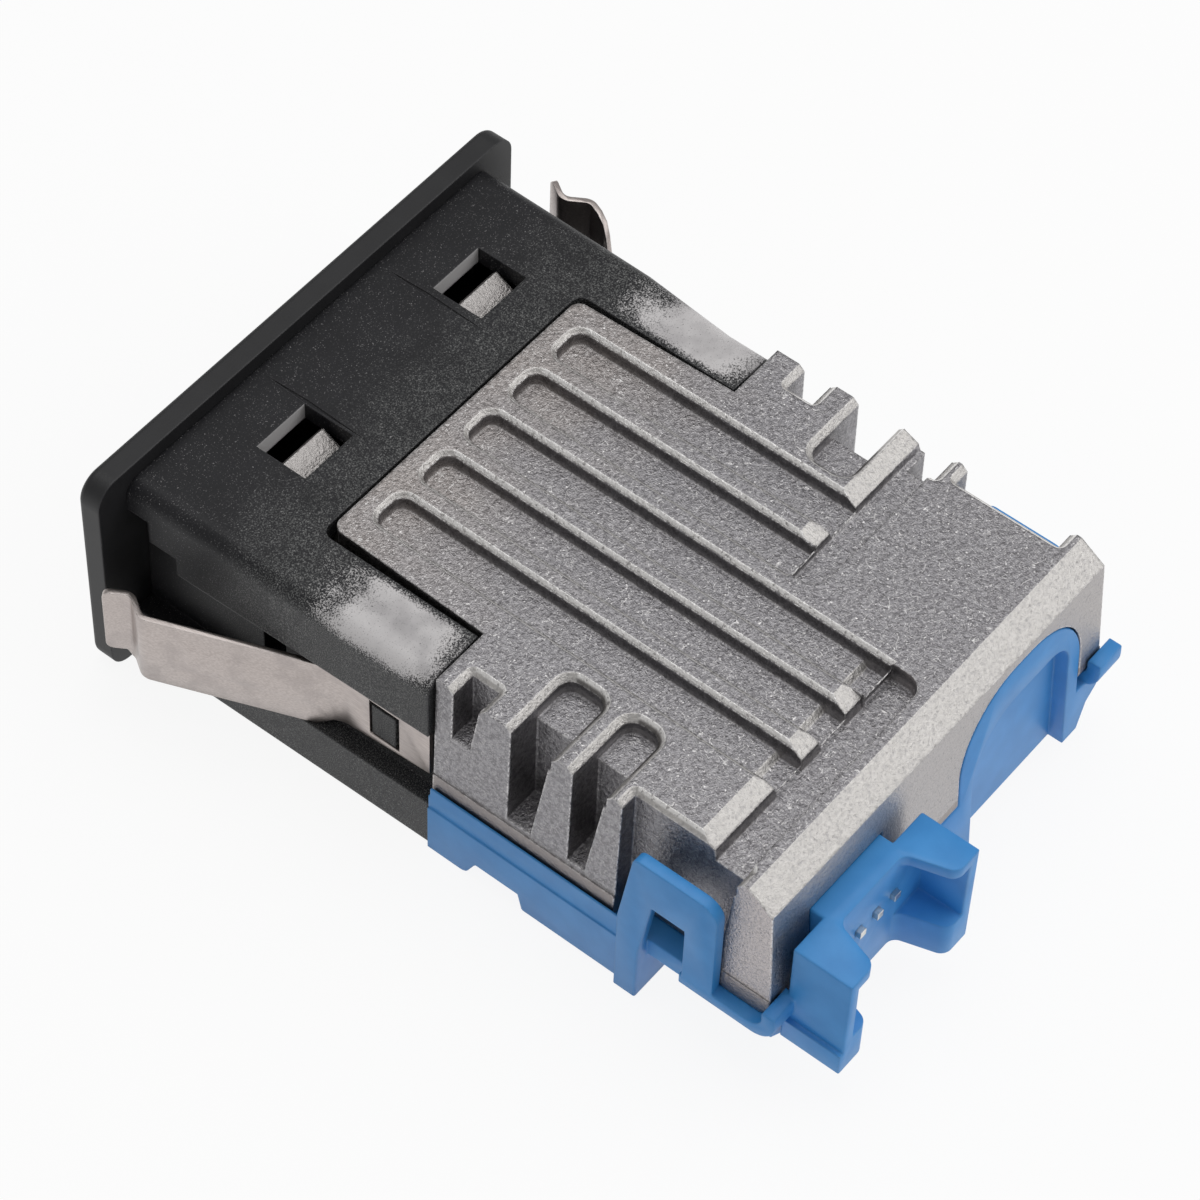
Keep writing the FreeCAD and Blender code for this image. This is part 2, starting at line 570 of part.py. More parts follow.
for side in SIDES:
    cut(sleeve, f"Channel{side}", "YZ", *flank(side, CHANNEL_WALL, f"{SLEEVE_SIDE} + {CLEAR}"), [
        ("0", "-channel_drop"), ("arm_end", "-channel_drop"), ("arm_end", "channel_rear_top"),
        ("crest_room", "channel_top"), ("crest_room", "crest_room_top"),
        ("tab_room", "crest_room_top"), ("tab_room", "tab_room_top"), ("0", "tab_room_top"),
    ])
    cut(sleeve, f"Slot{side}", "XZ", "slot_front", "slot_front + slot_length",
        box(*flank(side, f"{CAVITY_WIDTH} / 2 - ledge_width", SLEEVE_SIDE), "-slot_drop - slot_height", "-slot_drop"))
    grow(sleeve, f"Nub{side}", "YZ",
         *flank(side, f"{CHANNEL_WALL} - side_wall / 2", f"{CHANNEL_WALL} + clip_seat_gap + clip_thickness"),
         box("clip_hole_front + nub_gap", "clip_hole_front + clip_hole_length - nub_gap",
             "nub_gap - clip_hole_drop", "clip_hole_top - nub_gap"))
for side, middle in HOOKS.items():
    cut(sleeve, f"Window{side}", "XY", CAVITY_ROOF, "sleeve_top",
        box(*about(middle, "window_width"), "window_front", "window_front + window_length"))
for side, place in (("Right", "near_crease"), ("Left", "far_crease")):
    inner, outer = flank(side, f"{place} - crease_width / 2", f"{place} + crease_width / 2")
    cut(sleeve, f"Crease{side}", "XY", "sleeve_top - crease_depth", "sleeve_top", [
        (inner, "window_front"), (f"({inner} + {outer}) / 2", "crease_front"),
        (outer, "window_front"), (f"({inner} + {outer}) / 2", "crease_end"),
    ])

# Heat sink: a zinc casting that closes the sleeve from above and covers the board.
# Five grooves in its roof run into two trenches, and pockets leave fins along its sides.
sink = new_body("heat_sink")
grow(sink, "Block", "XZ", SINK_FRONT, f"sink_end + {CLEAR}", both_sides([
    (f"{sink_side(SINK_BOTTOM)} + band_proud", SINK_BOTTOM),
    (f"{sink_side('-band_drop')} + band_proud", "-band_drop"),
    (sink_side("-band_drop"), "-band_drop"),
    (sink_side(SINK_TOP), SINK_TOP),
]))
cut(sink, "RearFace", "YZ", f"-{SLEEVE_SIDE} - {CLEAR}", f"{SLEEVE_SIDE} + {CLEAR}", [
    ("bar_flat", SINK_TOP), ("sink_end", f"{SINK_TOP} - bar_drop"),
    (rear_plane(SINK_BOTTOM), SINK_BOTTOM), (f"sink_end + {CLEAR}", SINK_BOTTOM),
    (f"sink_end + {CLEAR}", f"{SINK_TOP} + 1"), ("bar_flat", f"{SINK_TOP} + 1"),
])
grow(sink, "Saddle", "XY", f"{SINK_TOP} - saddle_thickness", SINK_TOP, both_sides([
    (f"{NOTCH_WIDTH} / 2 - saddle_side_gap", f"{SINK_FRONT} + 2"),
    (f"{NOTCH_WIDTH} / 2 - saddle_side_gap - saddle_taper", SADDLE_FRONT, "saddle_corner"),
]))
WAIST_FRONT = "(near_pocket_two - 1.4)"
WAIST_END = "(near_pocket_three + middle_pocket + 1.2)"
HOLLOW_SIDE = f"({SINK_WIDTH} / 2 - hollow_wall)"
WAIST_SIDE = f"({SINK_WIDTH} / 2 - deep_reach - step_reach - waist_wall)"
cut(sink, "Hollow", "XY", SINK_BOTTOM, SINK_ROOF, both_sides([
    (HOLLOW_SIDE, f"{SINK_FRONT} - 1"),
    (HOLLOW_SIDE, WAIST_FRONT),
    (WAIST_SIDE, WAIST_FRONT),
    (WAIST_SIDE, WAIST_END),
    (HOLLOW_SIDE, WAIST_END),
    (HOLLOW_SIDE, "sink_end - rear_wall"),
]), upwards=True)
for side, middle in HOOKS.items():
    arm_top = f"({CAVITY_ROOF} - roof_gap)"
    grow(sink, f"Hook{side}", "YZ", *about(middle, "hook_width"), [
        ("hook_front", f"{arm_top} - hook_thickness"),
        (f"{SADDLE_FRONT} + 3", f"{arm_top} - hook_thickness"),
        (f"{SADDLE_FRONT} + 3", arm_top),
        ("hook_front + hook_nose", arm_top),
        ("hook_front + hook_tip", f"{arm_top} + hook_rise"),
        ("hook_front", f"{arm_top} + hook_rise / 2"),
    ])


def groove_outline(number, margin, end):
    """Outline of a groove, or of its bevel, with rounds at its closed front end."""
    low, high = about(f"groove_pitch * {number} - groove_first", f"groove_width + 2 * {margin}")
    front = f"groove_front - {margin}"
    return [(low, front, f"groove_round + {margin}"), (high, front, f"groove_round + {margin}"),
            (high, end), (low, end)]


LONG_FLOOR = f"({SINK_TOP} - groove_depth - trench_step)"
for number in range(5):
    end = f"short_end + {CLEAR / 10}" if number < 2 else f"long_end + {CLEAR / 10}"
    cut(sink, f"Groove{number + 1}", "XY", f"{SINK_TOP} - groove_depth", SINK_TOP,
        groove_outline(number, "0", end), draft="groove_draft")
    cut(sink, f"GrooveBevel{number + 1}", "XY", f"{SINK_TOP} - groove_bevel", SINK_TOP,
        groove_outline(number, "groove_bevel", end), draft="45")
    if number >= 2:
        floor = about(f"groove_pitch * {number} - groove_first", "groove_width - 2 * tan(groove_draft) * groove_depth")
        cut(sink, f"GrooveStep{number + 1}", "YZ", *floor, [
            ("step_front", f"{SINK_TOP} - groove_depth"), ("step_front + trench_step", LONG_FLOOR),
            (f"long_end + {CLEAR / 10}", LONG_FLOOR), (f"long_end + {CLEAR / 10}", f"{SINK_TOP} - groove_depth"),
        ])
SIDE_EDGE = f"({SINK_WIDTH} / 2 + {CLEAR})"
TRENCHES = {
    "Short": (f"-{SIDE_EDGE}", "groove_pitch - groove_first + groove_width / 2", "short_end", "short_trench_end",
              f"{SINK_TOP} - groove_depth"),
    "Long": ("groove_pitch * 2 - groove_first - groove_width / 2", SIDE_EDGE, "long_end", "long_trench_end",
             LONG_FLOOR),
}
for name, (low, high, front, end, floor) in TRENCHES.items():
    corners = [(low, end), (low, f"{front} + land_foot"), (high, f"{front} + land_foot"), (high, end)]
    inner = 3 if name == "Short" else 0
    corners[inner] = (*corners[inner], "trench_round")
    cut(sink, f"{name}Trench", "XY", floor, SINK_TOP, corners)
SLOPES = {
    "Short": (f"-{SIDE_EDGE}", "groove_pitch - groove_first - groove_width / 2", "short_end",
              f"{SINK_TOP} - groove_depth"),
    "Long": ("groove_pitch * 2 - groove_first + groove_width / 2", SIDE_EDGE, "long_end", LONG_FLOOR),
}
for name, (low, high, end, floor) in SLOPES.items():
    cut(sink, f"{name}Slope", "YZ", low, high, [
        (f"{end} - land_slope", SINK_TOP), (end, f"{SINK_TOP} - land_drop"),
        (f"{end} + land_foot", floor), (f"{end} + 2 * land_foot", floor),
        (f"{end} + 2 * land_foot", f"{SINK_TOP} + 1"), (f"{end} - land_slope", f"{SINK_TOP} + 1"),
    ])
deep = ("deep_reach", "deep_drop", "fin_lean")
shallow = ("shallow_reach", "shallow_drop", "fin_lean")
recess = ("recess_reach", f"{SINK_TOP} - {SINK_BOTTOM}", "recess_lean")
POCKETS = [
    ("Right", "One", "near_pocket_one", "narrow_pocket", *shallow),
    ("Right", "Two", "near_pocket_two", "wide_pocket", *deep),
    ("Right", "Three", "near_pocket_three", "middle_pocket", *deep),
    ("Right", "Recess", "near_recess", "recess_end - near_recess", *recess),
    ("Left", "One", "far_pocket_one", "narrow_pocket", *shallow),
    ("Left", "Two", "far_pocket_two", "wide_pocket", *deep),
    ("Left", "Three", "far_pocket_three", "narrow_pocket", *shallow),
    ("Left", "Recess", "far_recess", "recess_end - far_recess", *recess),
]


def pocket_outline(side, reach, front, end, margin, radius):
    """Outline of a pocket in plan, open at the heat sink's side."""
    mark = "" if side == "Right" else "-"
    inner = f"{mark}({SINK_WIDTH} / 2 - {reach} - {margin})"
    outer = f"{mark}{SIDE_EDGE}"
    return [(outer, f"{front} - {margin}"), (inner, f"{front} - {margin}", radius),
            (inner, f"{end} + {margin}", radius), (outer, f"{end} + {margin}")]


for side, name, front, length, reach, drop, lean in POCKETS:
    end = f"({front} + {length})"
    low, high = flank(side, f"{SINK_WIDTH} / 2 - {reach}", SIDE_EDGE)
    cut(sink, f"{name}Pocket{side}", "YZ", low, high, [
        (front, SINK_TOP), (front, f"{SINK_TOP} - ({drop})"),
        (f"{end} - tan({lean}) * ({drop})", f"{SINK_TOP} - ({drop})"), (end, SINK_TOP),
    ])
    rim_reach, rim_round = reach, "pocket_round"
    if drop == "deep_drop":
        rim_reach, rim_round = "(deep_reach + step_reach)", "step_round"
        cut(sink, f"{name}Step{side}", "XY", f"{SINK_TOP} - step_drop", SINK_TOP,
            pocket_outline(side, rim_reach, front, end, "0", rim_round))
    cut(sink, f"{name}Rim{side}", "XY", f"{SINK_TOP} - pocket_bevel", SINK_TOP,
        pocket_outline(side, rim_reach, front, end, "pocket_bevel", f"{rim_round} + pocket_bevel"), draft="45")
cut(sink, "RearFoot", "YZ", f"-{SLEEVE_SIDE} - {CLEAR}", f"{SLEEVE_SIDE} + {CLEAR}",
    box("recess_end - 2", f"sink_end + {CLEAR}", SINK_BOTTOM, "-post_drop"))
post_edges = [
    (f"recess_end - tan(recess_lean) * ({SINK_TOP} + post_drop)", "-post_drop"),
    (rear_plane("-post_drop"), "-post_drop"),
]
fillet(sink, "PostRounds", edges_along(sink.Tip.Shape, "x", post_edges), "post_round")
header_low, header_high = about(SHROUD_MIDDLE, "header_width + 2 * slip")
arch_low, arch_high = about("-panel_middle", "panel_width + 2 * rear_gap")
cut(sink, "RearOpening", "XZ", "sink_end - rear_wall - 1", f"sink_end + {CLEAR}", [
    (arch_low, "-post_drop"), (arch_low, "panel_top + rear_gap", "panel_arch"),
    (arch_high, "panel_top + rear_gap", "panel_arch"), (arch_high, "-strip_top"),
    (header_low, "-strip_top"), (header_low, "shroud_top + slip"), (header_high, "shroud_top + slip"),
    (header_high, "-post_drop"),
])
for name, place, width in (("Front", "front_chip_place", "driver_size"), ("Rear", "rear_chip_place", "chip_size")):
    grow(sink, f"{name}Pillar", "XY", "chip_height + pad_thickness - board_drop", SINK_ROOF,
         box(*about("0", width), *about(place, width)))

# Blue base: a moulded tray under the board, with a latch loop on each side, rails that
# cradle the rear posts, the shroud of the rear plug and an arched blank panel beside it.
base = new_body("connector_base")
BASE_TOP = "-board_drop"
grow(base, "Tray", "XY", BASE_BOTTOM, BASE_TOP, centred(SLEEVE_WIDTH, BASE_FRONT, "tray_end"))
for side in SIDES:
    cut(base, f"Parting{side}", "XZ", BASE_FRONT, "tray_end",
        box(*flank(side, f"{SLEEVE_SIDE} - parting_step", f"{SLEEVE_SIDE} + 1"), "-parting_drop", BASE_TOP))
cut(base, "FootStep", "YZ", f"-{SLEEVE_SIDE}", SLEEVE_SIDE, [
    ("foot_end", BASE_BOTTOM), ("foot_end + foot_slope", f"{BASE_BOTTOM} + foot_rise"),
    ("rear_foot - foot_slope / 2", f"{BASE_BOTTOM} + foot_rise"), ("rear_foot", BASE_BOTTOM),
])
fillet(base, "FootRound", edges_along(base.Tip.Shape, "x", [("foot_end", BASE_BOTTOM)]), "foot_round")
DECK_SIDE = f"({SLEEVE_SIDE} - deck_inset)"
grow(base, "Deck", "XZ", "tray_end - 3", f"sink_end + {CLEAR}", both_sides([
    (DECK_SIDE, BASE_TOP), (DECK_SIDE, "-deck_chamfer_top"),
    (f"{DECK_SIDE} - deck_chamfer", "-deck_chamfer_low"),
    (f"{DECK_SIDE} - deck_chamfer - deck_taper", "-deck_drop"),
]))
panel_low, panel_high = about("-panel_middle", "panel_width")
grow(base, "Panel", "XZ", "sink_end - panel_thickness + 0.6", f"sink_end + {CLEAR}", [
    (panel_low, BASE_TOP), (panel_low, "panel_top", "panel_arch"), (panel_high, "panel_top", "panel_arch"),
    (panel_high, f"-strip_top - rear_gap"), (f"{header_low} - 1", f"-strip_top - rear_gap"),
    (f"{header_low} - 1", BASE_TOP),
])
cut(base, "RearFace", "YZ", f"-{SLEEVE_SIDE} - {CLEAR}", f"{SLEEVE_SIDE} + {CLEAR}", [
    (f"{rear_plane('panel_top')} + panel_proud", "panel_top"),
    (f"{rear_plane('-deck_drop')} + panel_proud", "-deck_drop"),
    (f"sink_end + {CLEAR}", "-deck_drop"), (f"sink_end + {CLEAR}", "panel_top"),
])
cut(base, "Scoop", "YZ", "-scoop_left", "-scoop_right", [
    (f"{rear_plane('scoop_top')} + 1", "scoop_top"), (f"{rear_plane('scoop_top')} - scoop_depth", "scoop_top"),
    (f"{rear_plane('-deck_drop')} - scoop_depth", "-deck_drop"), (f"{rear_plane('-deck_drop')} + 1", "-deck_drop"),
])
scoop_corners = {"Left": ("-scoop_left", "scoop_corner"), "Right": ("-scoop_right", "scoop_arch")}
for side, (place, radius) in scoop_corners.items():
    fillet(base, f"Scoop{side}", edges_along(base.Tip.Shape, "y", [(place, "scoop_top")]), radius)
cut(base, "BoardNest", "XY", BOARD_BOTTOM, BASE_TOP,
    centred(CAVITY_WIDTH, BASE_FRONT, "board_front + board_length + slip"))
cut(base, "LowerNest", "XY", f"{BASE_BOTTOM} + foot_rise + base_floor", BOARD_BOTTOM,
    centred(f"{CAVITY_WIDTH} - 2 * ledge_width", BASE_FRONT, "tray_end - base_floor"))
LIP_INNER = f"({sink_side(SINK_BOTTOM)} + band_proud + lip_gap)"
POST_BOTTOM = "(-post_drop - rear_gap)"
for side in SIDES:
    grow(base, f"Lip{side}", "XY", f"{BASE_TOP} - 0.5", f"{SINK_BOTTOM} + lip_rise",
         box(*flank(side, LIP_INNER, f"{SLEEVE_SIDE} - parting_step"), SINK_FRONT, "loop_foot + 1"))
    loop = flank(side, f"{RAIL_SIDE} - loop_thickness", RAIL_SIDE)
    top = "loop_top" if side == "Right" else "far_loop_top"
    grow(base, f"Loop{side}", "YZ", *loop, [
        ("loop_foot", BASE_BOTTOM), ("loop_foot", "-rail_top"),
        ("loop_shoulder", top, "loop_front_round"), ("loop_end", top, "loop_rear_round"),
        ("loop_end", "-post_drop - rail_thickness"), ("rail_front", "-post_drop - rail_thickness"),
        ("tray_end", "-post_drop - rail_thickness"), ("tray_end", BASE_BOTTOM),
    ])
    cut(base, f"LoopWindow{side}", "YZ", *loop, [
        ("tray_end", "-post_drop - rail_thickness"), ("loop_window", "loop_window_top"),
        ("loop_window + loop_window_length", "loop_window_top"),
        ("loop_window + loop_window_length", "-post_drop - rail_thickness"),
    ])
    grow(base, f"Rail{side}", "YZ", *flank(side, f"{SLEEVE_SIDE} - ledge_width * 2", RAIL_SIDE), [
        ("rail_front", "-post_drop - rail_thickness"), ("rail_front", POST_BOTTOM),
        (f"{rear_plane('-post_drop')} + rear_gap", POST_BOTTOM, "post_round + rear_gap"),
        (f"{rear_plane('-rail_top')} + rear_gap", "-rail_top"),
        (f"{rear_plane('-rail_top')} + rear_gap + rail_thickness", "-rail_top"),
        (f"{rear_plane('-post_drop')} + rear_gap + rail_thickness", "-post_drop - rail_thickness", "rail_round"),
    ])
shroud_low, shroud_high = about(SHROUD_MIDDLE, "shroud_width")
SHROUD_FRONT = f"({rear_plane('-deck_drop')} + rear_gap)"
SHROUD_BOTTOM = "(shroud_top - shroud_height)"
grow(base, "Header", "XZ", "header_front", f"{SHROUD_FRONT} + 0.2",
     box(*about(SHROUD_MIDDLE, "header_width"), BASE_TOP, "shroud_top"))
grow(base, "Shroud", "XZ", SHROUD_FRONT, "shroud_end", [
    (shroud_low, SHROUD_BOTTOM), (f"{shroud_high} + shroud_step", SHROUD_BOTTOM),
    (f"{shroud_high} + shroud_step", "-shroud_flare"), (shroud_high, "-shroud_flare"),
    (shroud_high, "shroud_top"), (shroud_low, "shroud_top"),
])
cut(base, "PlugCavity", "XZ", f"{SHROUD_FRONT} + plug_stop", "shroud_end",
    box(*about(SHROUD_MIDDLE, "shroud_width - 2 * shroud_wall"),
        "shroud_top - shroud_wall - plug_height", "shroud_top - shroud_wall"))
keyway_low, keyway_high = about(SHROUD_MIDDLE, "keyway_width")
cut(base, "Keyway", "XY", SHROUD_BOTTOM, "shroud_top", [
    (keyway_low, "keyway_front", "keyway_round"), (keyway_high, "keyway_front", "keyway_round"),
    (f"{keyway_high} + keyway_flare", "shroud_end"), (f"{keyway_low} - keyway_flare", "shroud_end"),
])
tips = [(f"{keyway_high} + keyway_flare", "shroud_end"), (f"{keyway_low} - keyway_flare", "shroud_end")]
fillet(base, "KeywayLips", edges_along(base.Tip.Shape, "z", tips), "keyway_lip")
for number in range(4):
    middle = f"{SHROUD_MIDDLE} + pin_pitch * ({number} - 1.5)"
    cut(base, f"PinHole{number + 1}", "XZ", "header_front", f"{SHROUD_FRONT} + plug_stop",
        box(*about(middle, "pin_size"), *about("pin_height", "pin_size")))
cut(base, "TailWell", "XY", f"{BOARD_BOTTOM} - pin_tail - slip", BOARD_BOTTOM,
    box(*about(SHROUD_MIDDLE, "header_width"), *about("pin_row", "2 * pin_size + 2 * slip")))


def bent_strip(points, thickness, low, high):
    """A bent strip of sheet from its outer line in plan, with a round at each bend."""
    spots = [FreeCAD.Vector(x, y, 0) for x, y, radius in points]
    runs = []
    start = spots[0]
    for before, corner, after, bend in zip(spots, spots[1:], spots[2:], points[1:]):
        entry, crest, leave = arc_ends(before, corner, after, bend[2])
        runs.append(Part.LineSegment(start, entry).toShape())
        runs.append(Part.Arc(entry, crest, leave).toShape())
        start = leave
    runs.append(Part.LineSegment(start, spots[-1]).toShape())
    strip = Part.Wire(runs).makeOffset2D(thickness, fill=True, openResult=True)
    strip.translate(FreeCAD.Vector(0, 0, low))
    return strip.extrude(FreeCAD.Vector(0, 0, high - low))


def side_profile(points, side):
    """A thick slab over one side of the part, from its outline seen from that side."""
    reach = size_of(f"{FLANGE_WIDTH}")
    outline = Part.makePolygon([FreeCAD.Vector(0, y, z) for y, z in points + points[:1]])
    return Part.Face(outline).extrude(FreeCAD.Vector(side * reach, 0, 0))


def pressed_bead(foot, crest, rise):
    """A bead with sloping edges on the clip's outer face, raised by rise from that face."""
    along = (crest - foot).normalize()
    outwards = FreeCAD.Vector(along.y, -along.x, 0)
    if outwards.x * foot.x < 0:
        outwards = outwards * -1
    slope = size_of("bead_slope")
    wires = []
    for lift, inset in ((0, 0), (size_of("bead_height"), slope)):
        corners = []
        for place, level in (("bead_front", "-bead_drop"), ("bead_end", "-bead_drop"),
                             ("bead_end", "bead_top"), ("bead_front", "bead_top")):
            run = (size_of(place) - foot.y) / along.y
            run += inset if place == "bead_front" and along.y > 0 or place == "bead_end" and along.y < 0 else -inset
            height = size_of(level) + (inset if level == "-bead_drop" else -inset)
            corners.append(foot + along * run + outwards * (lift + rise) + FreeCAD.Vector(0, 0, height))
        wires.append(Part.makePolygon(corners + corners[:1]))
    return Part.makeLoft(wires, True, True)


# Spring clips: one bent strip of stainless sheet on each side, held by its foot in the
# sleeve's channel, where a nub fills its hole. The crest grips the edge of the panel's hole.
for side in SIDES:
    mark = 1 if side == "Right" else -1
    seat = size_of(f"{CHANNEL_WALL} + clip_seat_gap + clip_thickness")
    bends = [
        (seat, size_of("clip_foot"), 0),
        (seat, size_of("clip_bend"), size_of("clip_bend_radius")),
        (size_of(f"{SLEEVE_SIDE} + clip_crest_reach"), size_of("clip_crest"), size_of("clip_crest_radius")),
        (size_of(f"{SLEEVE_SIDE} + clip_neck_reach"), size_of("clip_neck"), size_of("clip_neck_radius")),
        (size_of(f"{SLEEVE_SIDE} + clip_tab_reach"), size_of("clip_tab"), 0),
    ]
    bends = [(mark * x, y, radius) for x, y, radius in bends]
    thickness = size_of("clip_thickness")
    strip = bent_strip(bends, mark * thickness, -size_of("clip_drop"), size_of("clip_top"))
    foot, crest = [FreeCAD.Vector(x, y, 0) for x, y, radius in bends[1:3]]
    strip = strip.fuse(pressed_bead(foot, crest, 0)).cut(pressed_bead(foot, crest, -thickness))
    low = -size_of("clip_drop")
    shallow_foot = side_profile([
        (size_of("clip_foot_front - 1.2"), low), (size_of("clip_foot_front"), -size_of("clip_foot_drop")),
        (size_of("clip_foot"), -size_of("clip_foot_end_drop")), (size_of("clip_foot"), low)], mark)
    tab_notch = side_profile([
        (size_of("clip_tab") - 1, low), (size_of("clip_neck"), low),
        (size_of("clip_neck - 0.4"), low + size_of("clip_tab_rise")),
        (size_of("clip_tab") - 1, low + size_of("clip_tab_rise"))], mark)
    hole_front, hole_end = size_of("clip_hole_front"), size_of("clip_hole_front + clip_hole_length")
    hole = side_profile([
        (hole_front, -size_of("clip_hole_drop")), (hole_end, -size_of("clip_hole_drop")),
        (hole_end, size_of("clip_hole_top")), (hole_front, size_of("clip_hole_top"))], mark)
    strip = strip.cut(shallow_foot).cut(tab_notch).cut(hole).removeSplitter()
    tips = [
        edge for edge in strip.Edges
        if abs(edge.Length - thickness) < 0.02 and edge.BoundBox.YMin < size_of("clip_tab + clip_thickness")
    ]
    strip = strip.makeFillet(size_of("clip_corner"), tips)
    clip = doc.addObject("Part::Feature", f"spring_clip_{side.lower()}")
    clip.Label = f"spring_clip_{side.lower()}"
    clip.Shape = strip
    NODES.append(clip)


def bore(body, name, low, high, spots, width):
    """Round holes from high down to low."""
    sketch = draw(body, name, "XY", high, [])
    for u, v in spots:
        place = FreeCAD.Vector(size_of(u), size_of(v), 0)
        circle = sketch.addGeometry(Part.Circle(place, FreeCAD.Vector(0, 0, 1), size_of(width) / 2), False)
        bind(sketch, "DistanceX", circle, 3, u, place.x)
        bind(sketch, "DistanceY", circle, 3, v, place.y)
        bind(sketch, "Radius", circle, 0, f"({width}) / 2", size_of(width) / 2)
    pocket = body.newObject("PartDesign::Pocket", name)
    pocket.Profile = sketch
    pocket.setExpression("Length", formula(f"({high}) - ({low})"))
    body.Tip = pocket
    doc.recompute()


def group(name, members):
    """Like pieces under one name."""
    compound = doc.addObject("Part::Compound", name)
    compound.Label = name
    compound.Links = members
    NODES.append(compound)
    return compound


def single(name, x, y, z):
    """A node that is one plain block."""
    solid = block(name, x, y, z)
    NODES.append(solid)
    return solid


# Circuit board: lies on the ledges of the sleeve and the base, under the heat sink.
board = new_body("main_board")
grow(board, "Sheet", "XY", BOARD_BOTTOM, "-board_drop",
     centred(f"{CAVITY_WIDTH} - 2 * slip", "board_front", "board_front + board_length"))
PINS = [f"{SHROUD_MIDDLE} + pin_pitch * ({number} - 1.5)" for number in range(4)]
bore(board, "PinHoles", BOARD_BOTTOM, "-board_drop", [(pin, "pin_row") for pin in PINS], "pin_hole")

# Pins of the rear plug: each comes up from the board, turns and runs back into the shroud.
pins = []
for number, middle in enumerate(PINS, start=1):
    across = about(middle, "pin_size")
    upright = block(f"PinUpright{number}", across, about("pin_row", "pin_size"),
                    (f"{BOARD_BOTTOM} - pin_tail", "pin_height + pin_size / 2"))
    reach = block(f"PinReach{number}", across, ("pin_row", "pin_end"), about("pin_height", "pin_size"))
    pin = doc.addObject("Part::Fuse", f"Pin{number}")
    pin.Base = upright
    pin.Tool = reach
    pins.append(pin)
group("header_pins", pins)

# Sockets: a folded steel shell, an insulator whose tongue carries the contacts, and four
# contact strips on the tongue's underside.
for side, middle in SOCKETS.items():
    mouth = "(shell_setback - flange_thickness)"
    back = f"({mouth} + shell_length)"
    tip = f"({back} - insulator_length - tongue_length)"
    shell = new_body(f"usb_shell_{side}")
    grow(shell, "Tube", "XZ", mouth, back, box(*about(middle, "shell_width"), SHELL_BOTTOM, SHELL_TOP))
    inside = about(middle, "shell_width - 2 * shell_wall")
    cut(shell, "Bore", "XZ", mouth, back,
        box(*inside, f"{SHELL_BOTTOM} + shell_wall", f"{SHELL_TOP} - shell_wall"))
    insulator = new_body(f"usb_tongue_{side}")
    grow(insulator, "Block", "XZ", f"{back} - insulator_length", back,
         box(*inside, f"{SHELL_BOTTOM} + shell_wall", f"{SHELL_TOP} - shell_wall"))
    tongue_top = f"({SHELL_TOP} - shell_wall - tongue_drop)"
    grow(insulator, "Tongue", "XZ", tip, f"{back} - insulator_length",
         box(*about(middle, "tongue_width"), f"{tongue_top} - tongue_thickness", tongue_top))
    strips = []
    for number in range(4):
        place = f"{middle} + contact_pitch * ({number} - 1.5)"
        strips.append(block(
            f"Contact{side}{number + 1}", about(place, "contact_width"),
            (f"{tip} + contact_setback", f"{back} - insulator_length"),
            (f"{tongue_top} - tongue_thickness - contact_thickness", f"{tongue_top} - tongue_thickness")))
    group(f"usb_contacts_{side}", strips)

# Parts on the board. The two chips give their heat through soft pads to the heat sink.
for name, place, width in (("power_chip", "front_chip_place", "driver_size"),
                           ("controller_chip", "rear_chip_place", "chip_size")):
    single(name, about("0", width), about(place, width), ("-board_drop", "chip_height - board_drop"))
    single(name.replace("chip", "chip_pad"), about("0", width), about(place, width),
           ("chip_height - board_drop", "chip_height + pad_thickness - board_drop"))
for side, mark in (("left", "-"), ("right", "")):
    coil = new_body(f"inductor_{side}")
    x_low, x_high = about(f"{mark}coil_pitch / 2", "coil_size")
    y_low, y_high = about("coil_place", "coil_size")
    grow(coil, "Core", "XY", "-board_drop", "coil_height - board_drop",
         [(x, y, "coil_round") for x, y in box(x_low, x_high, y_low, y_high)])
cans = []
for number in range(2):
    can = doc.addObject("Part::Cylinder", f"Can{number + 1}")
    can.setExpression("Radius", formula("can_radius"))
    can.setExpression("Height", formula("can_height"))
    can.setExpression("Placement.Base.x", formula(f"-(can_first + can_pitch * {number})"))
    can.setExpression("Placement.Base.y", formula("can_place"))
    can.setExpression("Placement.Base.z", formula("-board_drop"))
    cans.append(can)
group("round_capacitors", cans)
group("ceramic_capacitors", [
    block(f"Brick{number + 1}", about(f"brick_pitch * ({number} - 1.5)", "brick_width"),
          about("brick_place", "brick_length"), ("-board_drop", "brick_height - board_drop"))
    for number in range(4)])
single("light_guide", about("0", "guide_width"), ("-flange_thickness", "guide_length - flange_thickness"),
       ("-board_drop", "guide_height - board_drop"))
single("indicator_lamp", about("0", "guide_width - 2 * slip"),
       ("guide_length - flange_thickness + slip", "guide_length - flange_thickness + slip + lamp_length"),
       ("-board_drop", "lamp_height - board_drop"))

doc.recompute()
for item in doc.Objects:
    if any(state in ("Invalid", "Error") for state in item.State):
        raise RuntimeError(f"{item.Label} failed: {item.State}")
for node in NODES:
    if node.Shape.isNull() or not node.Shape.isValid() or not node.Shape.Solids:
        raise RuntimeError(f"{node.Label} has no sound shape")
for node in NODES:
    node.Shape.exportStep(f"parts/{node.Label}.step")
    print(node.Label, len(node.Shape.Solids), round(node.Shape.Volume, 1))
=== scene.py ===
import math

import bmesh
import bpy
from mathutils import Matrix, Vector


